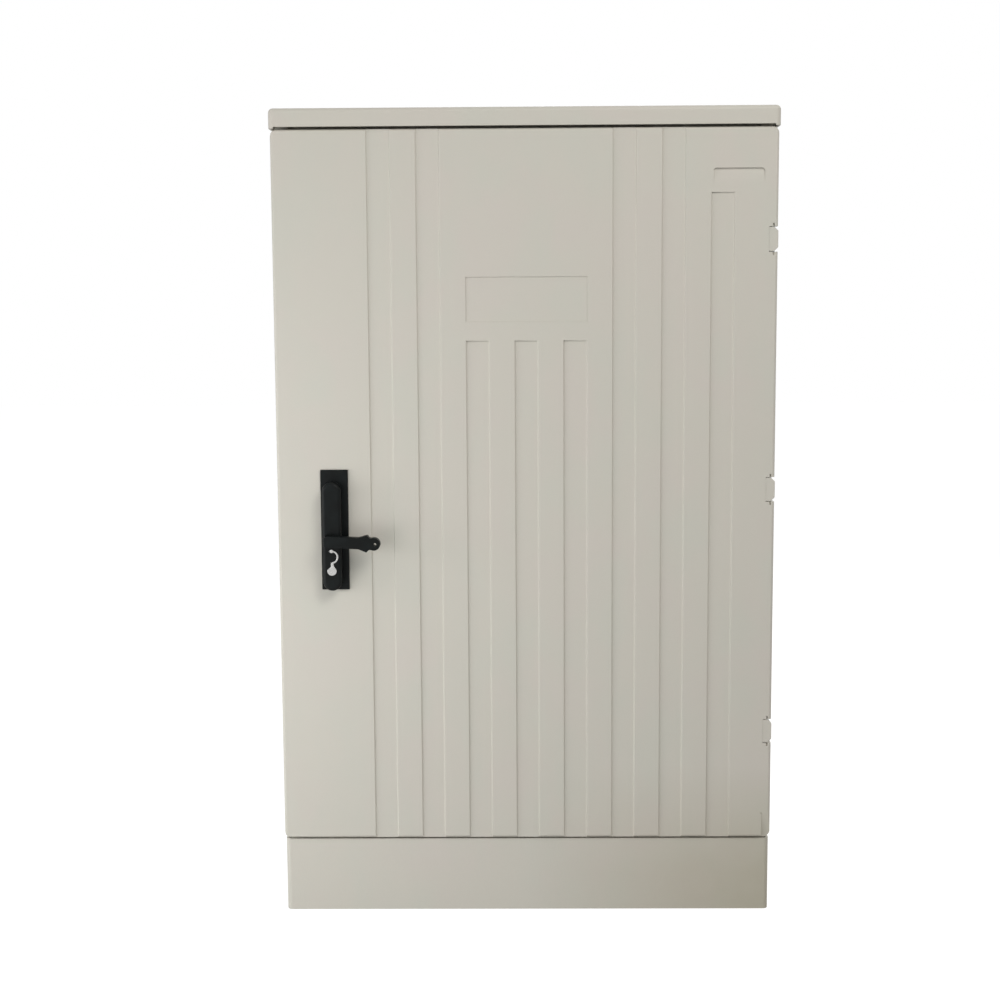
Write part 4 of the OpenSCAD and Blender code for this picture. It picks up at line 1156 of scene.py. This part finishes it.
@dataclass
class Door:
    """The ribbed door pan, its seal and its hinges."""

    pan_edge: float = 0.45 * MM
    band_depth: float = 2.5 * MM
    band_edge: float = 0.7 * MM
    band_steps: int = 4
    block_edge: float = 0.8 * MM
    block_front: float = 6.0 * MM
    pin_edge: Rounding = Rounding(0.5 * MM)
    seal_width: float = 10.0 * MM
    seal_corner: float = 16.0 * MM
    seal_weld: float = 0.01 * MM
    seal_crease_deg: float = 50.0
    corner_steps: int = 8
    fin_tall: float = 0.22
    fin_edge: float = 0.6
    bulb_wide: float = 0.8
    bulb_foot: float = 1.02
    bulb_steps: int = 10

    def build(self) -> list[bpy.types.Object]:
        """Builds the door and its hinges.

        Returns:
            The pieces.
        """
        pieces = [self.pan(), self.seal()]
        for level in ("lower", "middle", "upper"):
            pieces.append(self.block(f"hinge_block_{level}"))
            pieces.append(eased_piece(f"hinge_pin_{level}", Body.CABINET, ZINC, self.pin_edge))
        return pieces + [Fastener("hinge_screws", Body.CABINET, Head.SOCKET, BACKWARDS).build()]

    def block(self, node: str) -> bpy.types.Object:
        """Softens the front of a hinge block.

        Args:
            node: The block's node.

        Returns:
            The block's piece.
        """
        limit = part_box(node)[0].y + self.block_front
        front = Rounding(self.block_edge, chosen=lambda e: all(v.co.y < limit for v in e.verts))
        return eased_piece(node, Body.CABINET, POLYESTER, front)

    def pan(self) -> bpy.types.Object:
        """Softens the pan as its mould does, most along the bands.

        Returns:
            The pan's piece.
        """
        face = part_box("door_panel")[0].y

        def band(edge: bmesh.types.BMEdge) -> bool:
            """Tells whether an edge runs along a band's wall, at its top or its foot."""
            wall = any(self.is_band_wall(f, face) for f in edge.link_faces)
            return wall and abs(edge.verts[0].co.y - edge.verts[1].co.y) < LEVEL

        def untouched(edge: bmesh.types.BMEdge) -> bool:
            """Tells whether an edge stays clear of the rounded bands."""
            return all(f.material_index == 0 for v in edge.verts for f in v.link_faces)

        bands = Rounding(self.band_edge, self.band_steps, band)
        edges = Rounding(self.pan_edge, chosen=untouched)
        return eased_piece("door_panel", Body.DOOR, POLYESTER, bands, edges)

    def is_band_wall(self, wall: bmesh.types.BMFace, face: float) -> bool:
        """Tells whether a face spans exactly from the door's face to a band's floor."""
        levels = [v.co.y - face for v in wall.verts]
        return abs(min(levels)) < LEVEL and abs(max(levels) - self.band_depth) < LEVEL

    def seal(self) -> bpy.types.Object:
        """Sweeps the seal's section round the door.

        Returns:
            The seal's piece.
        """
        low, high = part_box("door_seal")
        section = self.seal_section(high.y - low.y)
        rings = []
        for corner, start in self.seal_corners(low, high):
            for i in range(self.corner_steps + 1):
                angle = math.radians(start + 90 * i / self.corner_steps)
                out = Vector((math.cos(angle), 0.0, math.sin(angle)))
                places = [(corner + out * (self.seal_corner + u), v) for u, v in section]
                rings.append([place + Vector((0.0, v, 0.0)) for place, v in places])
        bm = bmesh.new()
        loft(bm, rings + rings[:1], capped=False)
        bmesh.ops.remove_doubles(bm, verts=bm.verts, dist=self.seal_weld)
        bmesh.ops.recalc_face_normals(bm, faces=bm.faces)
        piece = make_object("door_seal_dressed", bm, self.seal_crease_deg)
        return dress(piece, Body.DOOR, RUBBER, "door_seal")

    def seal_corners(self, low: Vector, high: Vector) -> list[tuple[Vector, float]]:
        """Places the arcs of the seal's corners.

        Args:
            low: Low corner of the seal's box.
            high: High corner of the seal's box.

        Returns:
            Each arc's turning point and the angle in degrees at which it starts.
        """
        inset = self.seal_corner + self.seal_width / 2
        left, right = low.x + inset, high.x - inset
        foot, top = low.z + inset, high.z - inset
        return [
            (Vector((right, low.y, top)), 0.0),
            (Vector((left, low.y, top)), 90.0),
            (Vector((left, low.y, foot)), 180.0),
            (Vector((right, low.y, foot)), 270.0),
        ]

    def seal_section(self, thick: float) -> list[Span]:
        """Returns the section's points: a flat foot with two fins under a round bulb.

        Args:
            thick: Height of the section.

        Returns:
            Points across the seal and up from its foot.
        """
        half = self.seal_width / 2
        fin = self.fin_tall * thick
        bulb = self.bulb_wide * half
        angles = [math.pi * i / self.bulb_steps for i in range(1, self.bulb_steps)]
        arc = [(bulb * math.cos(a), fin + (thick - fin) * math.sin(a)) for a in angles]
        side = [(half, 0.0), (half, self.fin_edge * fin), (self.bulb_foot * bulb, fin)]
        return side + arc + [(-u, v) for u, v in reversed(side)]


@dataclass
class SwingLock:
    """The black lock on the door's face: plate, lever, key cylinder and its cover."""

    plate_edge: Rounding = Rounding(0.7 * MM)
    lever_front: float = 1.6 * MM
    lever_front_steps: int = 4
    lever_front_level: float = 0.01 * MM
    lever_corner: float = 0.8 * MM
    lever_corner_steps: int = 3
    lever_corner_deg: float = 12.0
    hole_clear: float = 6.0 * MM
    fine_edge: Rounding = Rounding(0.3 * MM)
    cover_edge: Rounding = Rounding(0.5 * MM, 3)

    def build(self) -> list[bpy.types.Object]:
        """Builds the lock's outer pieces.

        Returns:
            The pieces.
        """
        return [
            eased_piece("lock_plate", Body.DOOR, BLACK, self.plate_edge),
            self.lever(),
            eased_piece("lock_cylinder", Body.DOOR, NICKEL, self.fine_edge),
            eased_piece("key_plug", Body.PLUG, NICKEL, self.fine_edge),
            eased_piece("keyhole_cover", Body.COVER, NICKEL, self.cover_edge),
            eased_piece("cover_rivet", Body.DOOR, NICKEL, self.fine_edge),
        ]

    def lever(self) -> bpy.types.Object:
        """Rounds the lever as a cast handle is rounded, most along its front rim.

        Returns:
            The lever's piece.
        """
        low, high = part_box("lever_handle")
        hole = Vector(next(m["pos_m"] for m in frame["record"]["mounts"] if m["name"] == "padlock_hole"))

        def upright(edge: bmesh.types.BMEdge) -> bool:
            """Tells whether an edge runs through the lever's thickness."""
            a, b = (v.co for v in edge.verts)
            return abs(a.y - b.y) > (high.y - low.y) / 2

        def front_rim(edge: bmesh.types.BMEdge) -> bool:
            """Tells whether an edge lies on the front outline, not on the rim of the padlock hole."""
            front = all(v.co.y < low.y + self.lever_front_level for v in edge.verts)
            return front and all((v.co - hole).length > self.hole_clear for v in edge.verts)

        corners = Rounding(self.lever_corner, self.lever_corner_steps, upright, self.lever_corner_deg)
        rim = Rounding(self.lever_front, self.lever_front_steps, front_rim)
        return eased_piece("lever_handle", Body.LEVER, BLACK, corners, rim)


@dataclass
class RodLock:
    """The lock's works behind the door: case, pinion, racked rods, guides and strikes."""

    case_edge: Rounding = Rounding(0.6 * MM)
    tooth_edge: Rounding = Rounding(0.15 * MM)
    rod_edge: Rounding = Rounding(0.3 * MM)

    def build(self) -> list[bpy.types.Object]:
        """Builds the works.

        Returns:
            Their pieces.
        """
        pieces = [
            eased_piece("lock_case", Body.DOOR, ZINC, self.case_edge),
            eased_piece("lock_case_cover", Body.DOOR, ZINC, self.case_edge),
            eased_piece("lock_spindle", Body.LEVER, STEEL, self.rod_edge),
            eased_piece("pinion", Body.LEVER, STEEL, self.tooth_edge),
            eased_piece("upper_rod", Body.UPPER_ROD, STEEL, self.rod_edge),
            eased_piece("lower_rod", Body.LOWER_ROD, STEEL, self.rod_edge),
        ]
        for level in ("upper", "lower"):
            pieces.append(eased_piece(f"rod_guide_{level}", Body.DOOR, NYLON, self.case_edge))
            pieces.append(eased_piece(f"strike_plate_{level}", Body.CABINET, ZINC, self.case_edge))
        for node in ("lock_case_screws", "lock_screws", "guide_screws"):
            pieces.append(Fastener(node, Body.DOOR, Head.SOCKET, BACKWARDS).build())
        pieces.append(Fastener("strike_screws", Body.CABINET, Head.SOCKET, BACKWARDS).build())
        pieces.append(Fastener("spindle_screw", Body.LEVER, Head.SOCKET, BACKWARDS, STEEL).build())
        return pieces


# Studio


@dataclass(frozen=True)
class Lamp:
    """A soft rectangular lamp."""

    name: str
    place: Triple
    target: Triple
    size: Span
    watts: float
    tint: Triple = (1.0, 1.0, 1.0)

    def build(self) -> None:
        """Hangs the lamp and turns it to its target."""
        data = bpy.data.lights.new(self.name, "AREA")
        data.shape = "RECTANGLE"
        data.size, data.size_y = self.size
        data.energy = self.watts
        data.color = self.tint
        lamp = bpy.data.objects.new(self.name, data)
        lamp.location = self.place
        lamp.rotation_euler = (Vector(self.target) - Vector(self.place)).to_track_quat("-Z", "Y").to_euler()
        bpy.context.scene.collection.objects.link(lamp)


@dataclass(frozen=True)
class Studio:
    """Pale floor, white surround, soft lamps and the photograph's camera."""

    camera_place: Triple = (-0.0105, -2.6777, 0.9699)
    pitch_deg: float = -6.732
    yaw_deg: float = 0.680
    roll_deg: float = 0.340
    focal_px: float = 1605.0
    frame_px: float = 1000.0
    sensor_mm: float = 36.0
    floor_half: float = 14.0
    floor_squares: int = 4
    floor_drop: float = 0.2 * MM
    floor_colour: Triple = (0.36, 0.36, 0.355)
    floor_speck: float = 0.985
    floor_noise: Noise = Noise(3.0)
    floor_glow: float = 0.86
    white: Triple = (1.0, 1.0, 1.0)
    surround: float = 0.405
    lamps: tuple[Lamp, ...] = (
        Lamp("key", (-1.05, -1.0, 0.42), (-0.25, -0.16, 0.45), (1.1, 1.1), 9.2, (0.97, 0.985, 1.0)),
        Lamp("fill", (1.1, -2.2, 2.7), (0.15, -0.1, 0.7), (1.2, 1.2), 38.0, (1.0, 0.98, 0.945)),
        Lamp("graze", (-2.6, -0.75, 0.7), (0.1, -0.16, 0.6), (0.5, 0.9), 12.0),
        Lamp("back", (0.6, 2.8, 2.2), (0.0, 0.1, 0.7), (2.0, 1.6), 30.0),
    )

    def build(self) -> None:
        """Sets up the whole studio."""
        bpy.context.scene.view_settings.view_transform = "Standard"
        self.world()
        self.floor()
        self.camera()
        for lamp in self.lamps:
            lamp.build()

    def seen(self, g: Graph) -> Socket:
        """Tells rays of the camera, of mirrors and of glass from the rest.

        Args:
            g: The tree to add to.

        Returns:
            A value of 1 for these rays and of 0 for others.
        """
        path = g.add("ShaderNodeLightPath")
        kinds = ("Camera", "Glossy", "Transmission")
        return g.joined("MAXIMUM", [path.outputs[f"Is {kind} Ray"] for kind in kinds])

    def world(self) -> None:
        """Surrounds the object with white that lights it softly."""
        world = bpy.data.worlds.new("surround")
        bpy.context.scene.world = world
        g = Graph(world)
        strength = g.spread(self.seen(g), (self.surround, 1.0))
        g.end("ShaderNodeOutputWorld", g.filled("ShaderNodeBackground", Color=self.white, Strength=strength))

    def floor(self) -> None:
        """Lays the pale floor, white to the camera except where the object shades it."""
        bm = bmesh.new()
        squares = self.floor_squares
        bmesh.ops.create_grid(bm, x_segments=squares, y_segments=squares, size=self.floor_half)
        mesh = bpy.data.meshes.new("pale_floor")
        bm.to_mesh(mesh)
        bm.free()
        mesh.materials.append(self.floor_material())
        floor = bpy.data.objects.new("pale_floor", mesh)
        floor.location.z = CAD_BOX[0][2] - self.floor_drop
        bpy.context.scene.collection.objects.link(floor)

    def floor_material(self) -> bpy.types.Material:
        """Makes the floor's faint specks and its glow to the camera.

        Returns:
            The material.
        """
        g = Graph(bpy.data.materials.new("pale_floor"))
        speck = tuple(self.floor_speck * c for c in self.floor_colour)
        colour = g.mix(g.cloud(self.floor_noise), self.floor_colour, speck)
        strength = g.spread(self.seen(g), (0.0, self.floor_glow))
        both = g.add("ShaderNodeAddShader")
        g.feed(both.inputs[0], g.filled("ShaderNodeBsdfDiffuse", Color=colour).outputs[0])
        g.feed(both.inputs[1], g.filled("ShaderNodeEmission", Strength=strength).outputs[0])
        g.end("ShaderNodeOutputMaterial", both)
        return g.owner

    def camera(self) -> None:
        """Sets the camera at the photograph's place and angle."""
        data = bpy.data.cameras.new("photo_camera")
        data.sensor_width = self.sensor_mm
        data.lens = self.focal_px / self.frame_px * self.sensor_mm
        camera = bpy.data.objects.new("photo_camera", data)
        turn = (
            Matrix.Rotation(math.radians(self.yaw_deg), 4, "Z")
            @ Matrix.Rotation(math.radians(self.pitch_deg), 4, "X")
            @ Matrix.Rotation(math.radians(self.roll_deg), 4, "Y")
            @ Matrix.Rotation(math.radians(90), 4, "X")
        )
        camera.matrix_world = Matrix.Translation(self.camera_place) @ turn
        bpy.context.scene.collection.objects.link(camera)
        bpy.context.scene.camera = camera


def main() -> None:
    """Builds the studio and every sub-assembly, and notes the sizes."""
    logging.basicConfig(level=logging.INFO, format="%(name)s: %(message)s")
    Studio().build()
    for assembly in (Shell(), Plinth(), FloorDeck(), Inside(), Door(), SwingLock(), RodLock()):
        pieces = assembly.build()
        log.info("%s: %d pieces", type(assembly).__name__, len(pieces))


if __name__ == "__main__":
    main()
